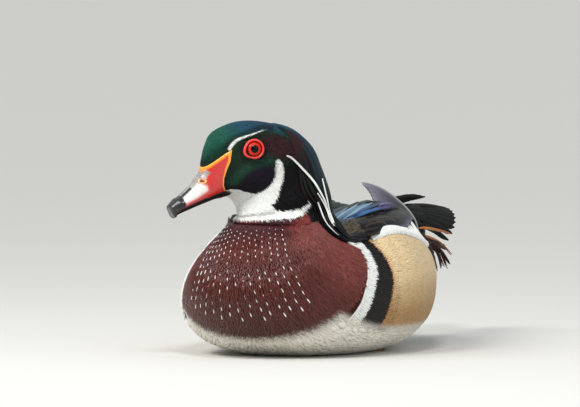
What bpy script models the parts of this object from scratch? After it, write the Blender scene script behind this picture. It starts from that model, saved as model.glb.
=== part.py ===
"""A drake wood duck, life size, resting on its belly with its head turned to its right.

Metres, +Z up. The bird faces -Y and its left side is +X. Sizes below are in millimetres, and
every point is made in the bird's own measures: s forward from the middle of the body, x to its
left, z up from the floor. One lofted surface runs from the tail base over the breast, up the
neck and round the head to the base of the bill, and each part of it is its own closed solid.
"""

import math

import bmesh
import bpy
import numpy as np
from mathutils import Vector

MM = 0.001
GAP = 0.3  # between neighbouring parts
LENGTH_SHIFT = 31.0  # moves the middle of the whole length onto the origin
RING_SIDES = 26
MERGE = 1e-6  # metres
FLAT = math.radians(1.4)

# The neck turns about this upright axis, given by its place along the body.
NECK_AXIS_S = 65.0
HEAD_YAW = 43.0  # degrees, to the bird's right

# Each station of the loft: the dorsal and ventral points (s, z), the half width, how far up from
# the ventral point it is widest, the exponents of its upper and lower curves, and its yaw.
STATIONS = {
    "tail_base": (-114, 74.5, -106, 54, 12, 0.50, 2.0, 2.0, 0),
    "rump": (-98, 76, -92, 37, 25, 0.50, 2.1, 2.1, 0),
    "rear": (-77, 79, -74, 21, 43, 0.50, 2.2, 2.2, 0),
    "thigh": (-50, 82, -48, 6.5, 54.5, 0.48, 2.4, 2.4, 0),
    "waist": (-18, 82.5, -18, -1.5, 65.5, 0.46, 2.5, 2.6, 0),
    "middle": (10, 83, 16, -2.5, 70.5, 0.46, 2.5, 2.6, 0),
    "shoulder": (25, 82, 52, -1.5, 69, 0.46, 2.4, 2.5, 0),
    "upper_breast": (31, 81.5, 84, 4, 64, 0.47, 2.3, 2.4, 0),
    "breast": (33, 82.5, 109, 18, 56, 0.48, 2.2, 2.2, 0),
    "fore_breast": (34, 84.5, 123.5, 38, 45, 0.50, 2.1, 2.1, 0),
    "neck_root": (35, 87, 121, 56, 36, 0.50, 2.0, 2.0, 3),
    "breast_top": (36, 89.5, 110, 69, 29.5, 0.50, 2.0, 2.0, 8),
    "neck_base": (37.5, 93, 98, 78.5, 25.5, 0.52, 2.0, 2.0, 16),
    "collar": (39, 98, 91.5, 84, 23, 0.52, 2.0, 2.0, 27),
    "throat": (40.5, 104.5, 91.2, 88.5, 21.5, 0.50, 2.0, 2.0, 36),
    "nape": (42, 113.5, 91.8, 91.5, 20.5, 0.46, 2.0, 2.0, 41),
    "hind_crown": (46, 127, 92.8, 93.5, 20.3, 0.44, 2.1, 2.1, 43),
    "crown": (57, 138.5, 93.8, 95, 20.8, 0.42, 2.2, 2.2, 43),
    "temple": (74, 143.5, 94.8, 96, 20.5, 0.42, 2.3, 2.2, 43),
    "brow": (91, 144, 96, 96.8, 19, 0.42, 2.4, 2.2, 43),
    "forehead": (106, 138.5, 97.5, 97.3, 16, 0.42, 2.3, 2.2, 43),
    "lores": (111.5, 130.5, 99.5, 97.6, 13, 0.44, 2.2, 2.2, 43),
    "front": (114, 121.5, 102.5, 97.6, 10.8, 0.46, 2.2, 2.2, 43),
    "bill_base": (115.4, 114, 107, 97, 9.6, 0.44, 2.2, 2.2, 43),
    "bill_mid": (121.5, 106, 114, 94.6, 8.8, 0.42, 2.3, 2.2, 43),
    "bill_fore": (127.5, 100.4, 122.5, 91.6, 8.6, 0.42, 2.3, 2.2, 43),
    "bill_end": (132.5, 96.6, 129.5, 88.8, 7.6, 0.45, 2.3, 2.2, 43),
    "nail": (136.2, 92.6, 133.8, 86.6, 5.0, 0.50, 2.2, 2.2, 43),
}
ORDER = list(STATIONS)
TABLE = np.array([STATIONS[name] for name in ORDER], float)
NECK_T = ORDER.index("neck_base") + 0.3
HEAD_T = ORDER.index("nape") - 0.4
TIP_T = len(ORDER) - 1


def spline(table, t):
    """A row of the table at the fractional index t, on a Catmull-Rom curve through its rows."""
    last = len(table) - 1
    i = min(max(int(math.floor(t)), 0), last - 1)
    f = t - i
    p0, p1, p2, p3 = (table[min(max(k, 0), last)] for k in (i - 1, i, i + 1, i + 2))
    square, cube = 2 * p0 - 5 * p1 + 4 * p2 - p3, 3 * p1 - p0 - 3 * p2 + p3
    return 0.5 * (2 * p1 + (p2 - p0) * f + square * f**2 + cube * f**3)


def place(s, x, z, yaw=0.0):
    """Object coordinates, in metres, of a point in the bird's measures, turned by yaw about the neck."""
    turn = math.radians(yaw)
    ahead = s - NECK_AXIS_S
    forward = NECK_AXIS_S + ahead * math.cos(turn) + x * math.sin(turn)
    left = x * math.cos(turn) - ahead * math.sin(turn)
    return Vector((left * MM, -(forward + LENGTH_SHIFT) * MM, z * MM))


def head_place(s, x, z):
    """A point of the head, which has the whole yaw."""
    return place(s, x, z, HEAD_YAW)


def section(t, phi, grow=0.0):
    """The loft's point at station t and angle phi from the dorsal line, positive to the left."""
    ds, dz, vs, vz, half, widest, upper, lower, yaw = spline(TABLE, t)
    up = np.array([ds - vs, dz - vz])
    length = np.linalg.norm(up)
    up /= length
    top, bottom = length * (1 - widest) + grow, length * widest + grow
    centre = np.array([vs, vz]) + up * length * widest
    power = 2 / (upper if math.cos(phi) > 0 else lower)
    across = math.copysign(abs(math.sin(phi)) ** power, math.sin(phi)) * (half + grow)
    rise = abs(math.cos(phi)) ** power * (top if math.cos(phi) > 0 else -bottom)
    s, z = centre + up * rise
    return place(s, across, max(z, 0.0), yaw)


def ring(t, shift=0.0, grow=0.0, sides=RING_SIDES):
    """One ring of the loft, moved by shift millimetres square to its own plane."""
    points = [section(t, 2 * math.pi * k / sides, grow) for k in range(sides)]
    ds, dz, vs, vz, *_, yaw = spline(TABLE, t)
    flat = math.atan2(dz - vz, ds - vs) - math.pi / 2
    heading = place(NECK_AXIS_S + math.cos(flat), 0, math.sin(flat), yaw) - place(NECK_AXIS_S, 0, 0, yaw)
    move = heading.normalized() * shift * MM
    return [p + move for p in points]


def marks(count, spill=0.0):
    """Even steps from 0 to 1, the first and last moved out by spill."""
    return [-spill] + [k / count for k in range(1, count)] + [1 + spill]


def new_object(name, mesh, material):
    """Links a mesh to the duck's collection under a node's name."""
    obj = bpy.data.objects.new(name, mesh)
    DUCK.objects.link(obj)
    if material:
        mesh.materials.append(material)
    return obj


def loft(name, rings, material=None):
    """A closed solid through rings of equal count, with a fan of triangles at each end."""
    sheet = bmesh.new()
    rows = [[sheet.verts.new(p) for p in points] for points in rings]
    count = len(rows[0])
    for near, far in zip(rows, rows[1:]):
        for k in range(count):
            j = (k + 1) % count
            sheet.faces.new((near[k], near[j], far[j]))
            sheet.faces.new((near[k], far[j], far[k]))
    for row, turn in ((rows[0], -1), (rows[-1], 1)):
        middle = sheet.verts.new(sum((v.co for v in row), Vector()) / count)
        for k in range(count):
            edge = (row[k], row[(k + 1) % count])
            sheet.faces.new((middle, *edge[::turn]))
    bmesh.ops.recalc_face_normals(sheet, faces=sheet.faces)
    mesh = bpy.data.meshes.new(name)
    sheet.to_mesh(mesh)
    sheet.free()
    mesh.shade_smooth()
    return new_object(name, mesh, material)


def pad(name, grid_low, grid_high, material=None):
    """A closed solid between two grids of points of one size, such as a layer of feathers."""
    sheet = bmesh.new()
    rows, columns = len(grid_low), len(grid_low[0])
    low = [[sheet.verts.new(p) for p in row] for row in grid_low]
    high = [[sheet.verts.new(p) for p in row] for row in grid_high]
    for i in range(rows - 1):
        for j in range(columns - 1):
            for net in (low, high):
                sheet.faces.new((net[i][j], net[i + 1][j], net[i + 1][j + 1]))
                sheet.faces.new((net[i][j], net[i + 1][j + 1], net[i][j + 1]))
    rim = [(0, j) for j in range(columns)] + [(i, columns - 1) for i in range(1, rows)]
    rim += [(rows - 1, j) for j in range(columns - 2, -1, -1)] + [(i, 0) for i in range(rows - 2, 0, -1)]
    for (i, j), (m, n) in zip(rim, rim[1:] + rim[:1]):
        sheet.faces.new((low[i][j], low[m][n], high[m][n]))
        sheet.faces.new((low[i][j], high[m][n], high[i][j]))
    bmesh.ops.recalc_face_normals(sheet, faces=sheet.faces)
    mesh = bpy.data.meshes.new(name)
    sheet.to_mesh(mesh)
    sheet.free()
    mesh.shade_smooth()
    return new_object(name, mesh, material)


def keep_largest(obj):
    """Drops every loose scrap that a cut or a join leaves."""
    sheet = bmesh.new()
    sheet.from_mesh(obj.data)
    sheet.verts.ensure_lookup_table()
    unseen, groups = set(sheet.verts), []
    while unseen:
        stack, group = [unseen.pop()], []
        while stack:
            vert = stack.pop()
            group.append(vert)
            for edge in vert.link_edges:
                other = edge.other_vert(vert)
                if other in unseen:
                    unseen.remove(other)
                    stack.append(other)
        groups.append(group)
    groups.sort(key=len)
    spare = [v for group in groups[:-1] for v in group]
    bmesh.ops.delete(sheet, geom=spare, context="VERTS")
    sheet.to_mesh(obj.data)
    sheet.free()


def tidy(obj):
    """Joins again the flat scraps that cuts leave of one facet."""
    sheet = bmesh.new()
    sheet.from_mesh(obj.data)
    bmesh.ops.remove_doubles(sheet, verts=sheet.verts, dist=MERGE)
    bmesh.ops.dissolve_degenerate(sheet, edges=sheet.edges, dist=MERGE)
    bmesh.ops.dissolve_limit(sheet, angle_limit=FLAT, verts=sheet.verts, edges=sheet.edges)
    bmesh.ops.triangulate(sheet, faces=sheet.faces)
    sheet.to_mesh(obj.data)
    sheet.free()
    obj.data.shade_smooth()


def boolean(obj, others, operation, solver="MANIFOLD"):
    """Cuts or joins obj with the other closed meshes in one step, applies it and removes them."""
    group = bpy.data.collections.new("operands")
    bpy.context.scene.collection.children.link(group)
    for other in others:
        for home in list(other.users_collection):
            home.objects.unlink(other)
        group.objects.link(other)
    modifier = obj.modifiers.new(operation.lower(), "BOOLEAN")
    modifier.operand_type = "COLLECTION"
    modifier.collection = group
    modifier.operation = operation
    modifier.solver = solver
    bpy.context.view_layer.update()
    graph = bpy.context.evaluated_depsgraph_get()
    made = bpy.data.meshes.new_from_object(obj.evaluated_get(graph))
    obj.modifiers.clear()
    obj.data = made
    for other in others:
        bpy.data.objects.remove(other)
    bpy.data.collections.remove(group)
    keep_largest(obj)
    return obj


def body_part(name, start, end, steps, material=None, grow=0.0, ends=(GAP / 2, GAP / 2)):
    """The stretch of the loft between two stations, drawn in by half a gap at each end."""
    rings = [ring(start, ends[0], grow)]
    rings += [ring(start + (end - start) * k / steps, 0.0, grow) for k in range(1, steps)]
    rings.append(ring(end, -ends[1], grow))
    return loft(name, rings, material)


def paint(name, colour, roughness=0.6, metallic=0.0):
    """A Principled material for one kind of surface."""
    material = bpy.data.materials.new(name)
    material.use_nodes = True
    shader = material.node_tree.nodes["Principled BSDF"]
    shader.inputs["Base Color"].default_value = (*colour, 1.0)
    shader.inputs["Roughness"].default_value = roughness
    shader.inputs["Metallic"].default_value = metallic
    return material


def clear_scene():
    """Removes whatever the scene holds and opens the duck's own collection."""
    for obj in list(bpy.data.objects):
        bpy.data.objects.remove(obj)
    collection = bpy.data.collections.new("wood_duck")
    bpy.context.scene.collection.children.link(collection)
    return collection


DUCK = clear_scene()


def blade(name, stations, material=None, sides=8):
    """A closed tapering solid along stations of centre, half breadth vector and half thickness vector."""
    rings = []
    for centre, broad, thick in stations:
        turns = [2 * math.pi * k / sides for k in range(sides)]
        rings.append([centre + broad * math.cos(a) + thick * math.sin(a) for a in turns])
    return loft(name, rings, material)


def side_prism(points, reach, inset=0.0):
    """A prism through the head, from its side outline in (s, z), drawn in by inset."""
    outline = [Vector(p) for p in points]
    area = sum(a.cross(b) for a, b in zip(outline, outline[1:] + outline[:1]))
    turn = 1 if area > 0 else -1
    moved = []
    for before, here, after in zip(outline[-1:] + outline[:-1], outline, outline[1:] + outline[:1]):
        n1 = (here - before).orthogonal().normalized() * turn
        n2 = (after - here).orthogonal().normalized() * turn
        mitre = n1 + n2
        moved.append(here + mitre * (inset / max(mitre.dot(n1), 0.5)))
    rings = [[head_place(s, x, z) for s, z in moved] for x in (-reach, reach)]
    return loft("prism", rings)


def ellipsoid(centre, radii, axes, name="ellipsoid", segments=16, material=None):
    """A closed ellipsoid of given half lengths along three unit axes."""
    sheet = bmesh.new()
    bmesh.ops.create_uvsphere(sheet, u_segments=segments, v_segments=segments // 2, radius=1.0)
    for vert in sheet.verts:
        vert.co = centre + sum((a * (r * MM * c) for a, r, c in zip(axes, radii, vert.co)), Vector())
    sheet.normal_update()
    bmesh.ops.recalc_face_normals(sheet, faces=sheet.faces)
    mesh = bpy.data.meshes.new(name)
    sheet.to_mesh(mesh)
    sheet.free()
    mesh.shade_smooth()
    return new_object(name, mesh, material)


def feather(points, normals, half_widths, half_thicks):
    """One vane: a tapering blade of lens section along a bent spine, lying square to its normals."""
    stations = []
    for k, (point, normal) in enumerate(zip(points, normals)):
        run = (points[min(k + 1, len(points) - 1)] - points[max(k - 1, 0)]).normalized()
        broad = run.cross(normal).normalized()
        thick = broad.cross(run)
        stations.append((point, broad * half_widths[k] * MM, thick * half_thicks[k] * MM))
    return blade("vane", stations, None, 4)


def surface_feather(point_at, start, end, shape, rise, steps=6):
    """A vane over a surface from start to end in that surface's two measures, rising to its tip."""
    points, normals = [], []
    for k in range(steps):
        f = k / (steps - 1)
        u, v = (p + (q - p) * f for p, q in zip(start, end))
        lift = rise[0] + (rise[1] - rise[0]) * min(f * 2, 1.0) + (rise[2] - rise[1]) * max(f * 2 - 1, 0.0)
        here = point_at(u, v, lift)
        normals.append((point_at(u, v, lift + 1.0) - here).normalized())
        points.append(here)
    widths = [shape[0] * w for w in VANE_OUTLINE[steps]]
    widths[-1] *= shape[2]
    thicks = [shape[1] * (1 - 0.5 * k / (steps - 1)) for k in range(steps)]
    thicks[-1] = min(thicks[-1], widths[-1])
    return feather(points, normals, widths, thicks)


# The half width of a vane along its length, as a share of its greatest.
VANE_OUTLINE = {
    5: (0.45, 0.9, 1.0, 0.75, 0.14),
    6: (0.4, 0.8, 1.0, 0.98, 0.72, 0.14),
}

BORDER = [(101.0, 127.2), (105.0, 124.4), (110.5, 119.6), (116.4, 114.6)]
REAR_BORDER = [(103.0, 102.2), (104.6, 105.5), (104.9, 109.7), (103.8, 115.4), (102.2, 120.0)]
MOUTH = [(134.3, 89.5), (128.0, 92.3), (115.3, 97.3)]
MANDIBLE_REAR = [(104.0, 93.0), (102.8, 97.6), (99.2, 99.2), (99.4, 101.2)]
FAR_AHEAD = 150.0


def head_and_bill():
    """The head, the upper bill and the lower mandible, parted from one lofted form."""
    full = body_part("head", HEAD_T, TIP_T, HEAD_STEPS, FEATHER_GREEN)
    above = BORDER + [(FAR_AHEAD, 114.6), (FAR_AHEAD, 75.0), (134.6, 75.0)] + MOUTH + REAR_BORDER
    below = MANDIBLE_REAR + [(103.0, 102.2)] + MOUTH[::-1] + [(134.3, 80.0), (104.0, 80.0)]
    upper = boolean(named_copy(full, "bill_upper", HORN), [side_prism(above, 30.0, GAP)], "INTERSECT")
    slim = body_part("bill_lower", HEAD_T, TIP_T, HEAD_STEPS, HORN_DARK, grow=-0.4)
    lower = boolean(slim, [side_prism(below, 30.0, GAP)], "INTERSECT")
    boolean(full, [side_prism(above, 30.0), side_prism(below, 30.0)], "DIFFERENCE")
    return full, upper, lower


def named_copy(obj, name, material):
    """A copy of a node's mesh under another name and material."""
    mesh = obj.data.copy()
    mesh.materials.clear()
    return new_object(name, mesh, material)


FEATHER_GREEN = paint("feather_green", (0.02, 0.07, 0.05), 0.45)
FEATHER_WHITE = paint("feather_white", (0.85, 0.84, 0.80), 0.8)
FEATHER_CHESTNUT = paint("feather_chestnut", (0.20, 0.05, 0.03), 0.6)
FEATHER_BUFF = paint("feather_buff", (0.62, 0.45, 0.25), 0.7)
FEATHER_BLUE = paint("feather_blue", (0.04, 0.07, 0.12), 0.45)
FEATHER_DARK = paint("feather_dark", (0.02, 0.025, 0.025), 0.5)
FEATHER_RUST = paint("feather_rust", (0.40, 0.14, 0.05), 0.6)
HORN = paint("horn_red", (0.65, 0.06, 0.04), 0.35)
HORN_DARK = paint("horn_dark", (0.02, 0.02, 0.02), 0.35)
EYE_RED = paint("eye_red", (0.5, 0.01, 0.01), 0.08)
LID_RED = paint("lid_red", (0.75, 0.06, 0.03), 0.45)
SKIN_OCHRE = paint("skin_ochre", (0.45, 0.30, 0.12), 0.55)

# The eye: its centre in the head, its radius, and the direction it looks, all for the left side.
EYE_CENTRE = (86.6, 13.6, 127.2)
EYE_RADIUS = 6.2
EYE_LOOK = (0.16, 0.98, 0.10)
SIDES = {"left": 1, "right": -1}

# The lid's ring in section: radius from the eye's axis and height over the eye's centre.
LID_SECTION = [(4.5, 4.75), (4.7, 5.7), (5.5, 6.0), (6.4, 5.05), (6.1, 3.5), (5.3, 4.0)]
LID_POINT = 0.17  # how far its front corner is drawn out
LID_POINT_TURN = 205.0  # degrees from the front, over the top, to that corner


def eye_frame(side):
    """Centre, axis, forward and upward directions of one eye."""
    s, x, z = EYE_CENTRE
    centre = head_place(s, x * side, z)
    ahead, across, up = EYE_LOOK
    axis = (head_place(s + ahead, (x + across) * side, z + up) - centre).normalized()
    forward = (head_place(s + 1, x * side, z) - centre).normalized()
    forward = (forward - axis * forward.dot(axis)).normalized()
    upward = axis.cross(forward) * side
    if upward.z < 0:
        upward.negate()
    return centre, axis, forward, upward


def eyeball(side, grow=0.0, name="eyeball", material=None):
    """The eye's sphere."""
    centre, axis, forward, upward = eye_frame(side)
    return ellipsoid(centre, [EYE_RADIUS + grow] * 3, (forward, upward, axis), name, 16, material)


def lid_ring(side, grow=0.0, name="lid", material=None, steps=18):
    """The ring of bare skin round the eye, drawn to a low point in front."""
    centre, axis, forward, upward = eye_frame(side)
    middle = np.array(LID_SECTION).mean(0)
    rings = []
    for k in range(steps):
        turn = 2 * math.pi * k / steps
        from_point = math.cos(turn - math.radians(180 - LID_POINT_TURN))
        stretch = 1 + LID_POINT * max(from_point, 0.0) ** 6
        way = forward * math.cos(turn) + upward * math.sin(turn)
        points = []
        for radius, height in LID_SECTION:
            out = np.array([radius, height]) - middle
            radius, height = middle + out * (1 + grow / np.linalg.norm(out))
            points.append(centre + way * (radius * stretch * MM) + axis * (height * MM))
        rings.append(points)
    return hoop(name, rings, material)


def hoop(name, rings, material=None):
    """A closed solid through rings that come back to the first."""
    sheet = bmesh.new()
    rows = [[sheet.verts.new(p) for p in points] for points in rings]
    count = len(rows[0])
    for near, far in zip(rows, rows[1:] + rows[:1]):
        for k in range(count):
            j = (k + 1) % count
            sheet.faces.new((near[k], near[j], far[j]))
            sheet.faces.new((near[k], far[j], far[k]))
    bmesh.ops.recalc_face_normals(sheet, faces=sheet.faces)
    mesh = bpy.data.meshes.new(name)
    sheet.to_mesh(mesh)
    sheet.free()
    mesh.shade_smooth()
    return new_object(name, mesh, material)


NOSTRIL_AT = (116.8, 6.5, 108.2)
NOSTRIL_RADII = (1.9, 3.2, 1.1)
TORSO_STEPS, NECK_STEPS, HEAD_STEPS = 22, 3, 22


def skin_cutter(grow=GAP):
    """The whole loft grown by a gap, to clear what lies over torso, neck and head."""
    marks = [NECK_T * k / TORSO_STEPS for k in range(TORSO_STEPS)]
    marks += [NECK_T + (HEAD_T - NECK_T) * k / NECK_STEPS for k in range(NECK_STEPS)]
    marks += [HEAD_T + (TIP_T - HEAD_T) * k / HEAD_STEPS for k in range(HEAD_STEPS + 1)]
    return loft("skin", [ring(t, 0.0, grow) for t in marks])


def eyes_and_lids():
    """Both eyes and lids, with their places cut in the head."""
    for label, side in SIDES.items():
        eyeball(side, 0.0, "eye_" + label, EYE_RED)
        lid_ring(side, 0.0, "eyelid_" + label, LID_RED)
        boolean(HEAD, [eyeball(side, GAP)], "DIFFERENCE")
        boolean(HEAD, [lid_ring(side, GAP)], "DIFFERENCE")
        s, x, z = NOSTRIL_AT
        axes = [head_place(s + a, x * side + b, z + c) - head_place(s, x * side, z) for a, b, c in np.eye(3)]
        pit = ellipsoid(head_place(s, x * side, z), NOSTRIL_RADII, [a.normalized() for a in axes], "pit", 12)
        boolean(BILL_UPPER, [pit], "DIFFERENCE")


# The crest's course over head and shoulder: loft station, turn to the left, half spread and height.
CREST_COURSE = np.array([
    (17.6, 0, 24, 0.3), (16.8, 0, 46, 1.5), (16, 0, 58, 3.2), (15, 2, 62, 5.2), (14, 8, 60, 6.8),
    (13, 17, 50, 7.4), (12, 28, 40, 7.2), (11, 39, 30, 6.2), (10, 48, 22, 4.8), (9.2, 54, 14, 3.0),
    (8.7, 57, 7, 1.2),
], float)

CREST_SUNK = 1.5
LOCK_STAND = 3.6  # how far the locks reach beyond the smooth form
# The crest's locks: where each lies across it (-1 to 1) at its root and tip, and its first and
# last place along it (0 at the crown, 1 at the tip).
CREST_LOCKS = [
    (-0.74, -0.60, 0.12, 0.66), (0.80, 0.72, 0.12, 0.76),
    (-0.46, -0.34, 0.06, 0.76), (0.46, 0.42, 0.06, 0.84), (-0.62, -0.44, 0.34, 0.92),
    (0.66, 0.58, 0.34, 0.97),
    (-0.12, -0.05, 0.02, 0.88), (0.20, 0.20, 0.02, 0.94), (-0.26, -0.08, 0.40, 1.0), (0.34, 0.26, 0.42, 1.0),
]


def crest_point(along, across, lift):
    """A point of the crest's outer form, lifted off it."""
    t, turn, spread, height = spline(CREST_COURSE, along * (len(CREST_COURSE) - 1))
    rise = height * (1 - across**4) + 0.6
    return section(t, math.radians(turn + spread * across), rise + lift)


def crest(material):
    """The crest: long narrow locks that bend over one another on a thin core."""
    core = crest_plain("crest", 0.0, material, 0.62)
    locks = []
    for k, (from_side, to_side, start, end) in enumerate(CREST_LOCKS):
        lift = -1.5 + 0.12 * k
        locks.append(surface_feather(crest_point, (start, from_side), (end, to_side), (3.6, 0.95, 1.0),
                                     (lift - 0.8, lift + 0.4, lift + 0.7), 6))
    return boolean(core, locks, "UNION")


def crest_plain(name="crest", grow=0.0, material=None, share=1.0):
    """The crest as one smooth mass, out to its tip; grow makes the copy that clears a neighbour."""
    low, high = [], []
    columns = 8
    for k, (t, turn, spread, height) in enumerate(CREST_COURSE):
        end = (k == 0) - (k == len(CREST_COURSE) - 1)
        wide = spread + grow * 1.5
        angles = [math.radians(turn + wide * (2 * j / columns - 1)) for j in range(columns + 1)]
        rise = [share * height * (1 - (2 * j / columns - 1) ** 4) + 0.6 + grow for j in range(columns + 1)]
        low.append([section(t + end * grow * 0.04, a, -CREST_SUNK - grow) for a in angles])
        high.append([section(t + end * grow * 0.04, a, r) for a, r in zip(angles, rise)])
    return pad(name, low, high, material)


# The folded wing's face in rows from the shoulder back: s, then (x, z) of its lower edge, its
# fullest line, its ridge and its inner edge over the back.
WING_ROWS = np.array([
    (56, 43, 67, 40, 72.5, 32, 78, 23, 81),
    (44, 51, 68, 48, 76.5, 35, 84, 16, 84.5),
    (25, 54, 69, 51, 80, 33, 88.5, 9, 87),
    (0, 53, 70, 49, 82, 29.5, 92, 7, 88.5),
    (-25, 48.5, 70, 44, 82.5, 26, 93, 5.5, 89),
    (-50, 40, 70, 37, 80.5, 22, 89.5, 4.5, 87.5),
    (-74, 27, 70, 24, 75, 13, 80, 3.2, 80.5),
], float)


def wing_point(a, b, lift=0.0, side=1):
    """A point of the folded wing's face, a along it from the shoulder, b up it, lifted outward."""
    row = spline(WING_ROWS, a * (len(WING_ROWS) - 1))
    pairs = row[1:].reshape(4, 2)
    x, z = spline(pairs, b * 3)
    step = spline(pairs, min(b * 3 + 0.05, 3)) - spline(pairs, max(b * 3 - 0.05, 0))
    step /= np.linalg.norm(step)
    return place(row[0], (x + step[1] * lift) * side, z - step[0] * lift)


def wing_bed(a, b, grow=0.0, side=1):
    """A point of the wing's underside, a flat slope sunk in the back from its lower to its inner edge."""
    row = spline(WING_ROWS, a * (len(WING_ROWS) - 1))
    x = row[1] + (row[7] - row[1]) * b - 1.5
    z = row[2] + (row[8] - row[2]) * b - 5.5
    return place(row[0], (x - grow * 0.5) * side, z - grow)


def wing_plain(name, side, grow=0.0, material=None):
    """The folded wing as one smooth pad sunk in the back; grow makes the copy that clears a neighbour."""
    grid = [[(a, b) for b in marks(7, grow * 0.022)] for a in marks(9, grow * 0.009)]
    high = [[wing_point(a, b, grow, side) for a, b in row] for row in grid]
    low = [[wing_bed(a, b, grow, side) for a, b in row] for row in grid]
    return pad(name, low, high, material)


# The leading edge of the folded wing tip (s, x, z): the left one crosses over the right.
WING_TIP = {
    "left": [(-45, 47, 70), (-60, 36, 79), (-75, 20, 88.5), (-92, 0, 95), (-110, -22, 98)],
    "right": [(-45, 47, 69), (-60, 36, 76), (-75, 20, 82), (-92, 0, 85), (-110, -22, 90)],
}

WING_TIP_BREADTH = {
    "left": [(6, -3), (8, -4), (7.5, -3.4), (6, -2.4), (1, -0.6)],
    "right": [(6, -3), (8, -3), (7.5, -1.6), (6, -1), (1, -0.4)],
}


def strut(start, end, breadths, thicknesses, across, grow=0.0):
    """Two stations of a tapering blade from start to end, its breadth lying along across."""
    run = (end - start).normalized()
    start, end = start - run * (2 * grow * MM), end + run * (2 * grow * MM)
    broad_start, broad_end = (b + grow for b in breadths)
    thick_start, thick_end = (t + grow for t in thicknesses)
    broad = (across - run * across.dot(run)).normalized()
    thick = run.cross(broad)
    return [
        (start, broad * broad_start * MM, thick * thick_start * MM),
        (end, broad * broad_end * MM, thick * thick_end * MM),
    ]


# The wing's vanes over its pad: where each starts and ends (a, b), its half width and its tip's lift.
WING_VANES = [
    ((0.04, 0.18), (0.34, 0.14), 6.5, 1.7), ((0.04, 0.44), (0.38, 0.38), 7.0, 1.9),
    ((0.28, 0.12), (0.60, 0.08), 6.5, 1.8), ((0.30, 0.36), (0.64, 0.30), 7.0, 2.0),
    ((0.08, 0.70), (0.50, 0.64), 7.5, 2.2), ((0.10, 0.90), (0.52, 0.88), 6.5, 1.8),
    ((0.38, 0.66), (0.80, 0.58), 7.5, 2.5), ((0.40, 0.88), (0.82, 0.86), 6.5, 2.2),
    ((0.52, 0.16), (0.94, 0.16), 6.5, 2.1), ((0.56, 0.38), (1.05, 0.34), 7.0, 2.6),
    ((0.66, 0.60), (1.10, 0.53), 7.0, 3.0),
]
PRIMARY_COUNT = 4


def wing(label, material):
    """The folded wing: its pad, the coverts, scapulars and tertials over it, and the flight feathers."""
    side = SIDES[label]
    made = wing_plain("wing_" + label, side, 0.0, material)
    vanes = []
    for start, end, half, tip in WING_VANES:
        vanes.append(surface_feather(lambda a, b, lift: wing_point(a, b, lift, side), start, end,
                                     (half, 0.8, 1.0), (-1.2, 0.6, tip), 5))
    vanes += primaries(label)
    return boolean(made, vanes, "UNION")


def primaries(label):
    """The flight feathers of one folded wing, one over the next, the leading one longest."""
    side = SIDES[label]
    edge = np.array(WING_TIP[label], float)
    reach = np.array(WING_TIP_BREADTH[label], float)
    vanes = []
    for k in range(PRIMARY_COUNT):
        f = k / (PRIMARY_COUNT - 1)
        points, normals = [], []
        for j in range(6):
            t = j / 5 * (4 - 0.75 * f)
            s, x, z = spline(edge, t)
            fore, down = spline(reach, t)
            inward = 0.55 + 1.35 * f
            height = z + down * inward + 0.5 * (PRIMARY_COUNT / 2 - k)
            points.append(place(s + fore * inward, x * side, height))
            normals.append((place(s, x * side, z + 1) - place(s, x * side, z)).normalized())
        for j, normal in enumerate(normals):
            run = points[min(j + 1, 5)] - points[max(j - 1, 0)]
            slope = place(fore, 0, down) - place(0, 0, 0)
            normals[j] = run.cross(slope).normalized()
            if normals[j].z < 0:
                normals[j].negate()
        widths = [4.6 * w for w in (0.8, 1.0, 1.0, 0.85, 0.55, 0.12)]
        vanes.append(feather(points, normals, widths, (0.9, 0.85, 0.75, 0.6, 0.5, 0.3)))
    return vanes


# The flank feathers over the folded wing's lower edge, in rows from the bars back to the rump:
# turn of the upper edge and of the lower edge from the back, and how far they stand out.
FLANK_ROWS = np.array([
    (46, 122, 0.6), (45, 122, 1.3), (42, 121, 2.8), (41, 120, 4.0), (43, 119, 3.8), (50, 118, 3.0),
    (64, 116, 1.8),
], float)
FLANK_SUNK = 2.4
FLANK_FRONT = np.array([(40, 8.35), (60, 7.85), (80, 7.5), (100, 7.35), (124, 7.3)])
FLANK_REAR = np.array([(40, 3.4), (60, 3.0), (80, 2.45), (100, 2.3), (124, 2.3)])


def flank_point(a, b, side, lift):
    """A point over the flank, a back from the bars, b up from the belly, lifted off the skin."""
    row = spline(FLANK_ROWS, a * (len(FLANK_ROWS) - 1))
    turn = row[1] + (row[0] - row[1]) * b
    front = np.interp(turn, FLANK_FRONT[:, 0], FLANK_FRONT[:, 1])
    rear = np.interp(turn, FLANK_REAR[:, 0], FLANK_REAR[:, 1])
    return section(front + (rear - front) * a, math.radians(turn) * side, lift)


def flank_height(a, b):
    """How far the flank's feathers stand off the skin at a point."""
    row = spline(FLANK_ROWS, a * (len(FLANK_ROWS) - 1))
    return 0.4 + (row[2] - 0.4) * min(max(b, 0.0) * 2.2, 1.0) ** 0.7


def flank_plain(name, side, grow=0.0, material=None):
    """The flank as one smooth pad; grow makes the copy that clears a neighbour."""
    grid = [[(a, b) for b in marks(7, grow * 0.016)] for a in marks(11, grow * 0.010)]
    high = [[flank_point(a, b, side, flank_height(a, b) + grow) for a, b in row] for row in grid]
    low = [[flank_point(a, b, side, -FLANK_SUNK - grow) for a, b in row] for row in grid]
    return pad(name, low, high, material)


TAIL_ROOT_S, TAIL_ROOT_Z, TAIL_ROOT_HALF = -100.0, 79.5, 9.0
TAIL_TIP_S, TAIL_TIP_Z, TAIL_TIP_HALF = -189.0, 78.0, 23.0
TAIL_DROP = 22.0
TAIL_ROUND = 38.0  # how much shorter the outermost feathers reach


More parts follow.
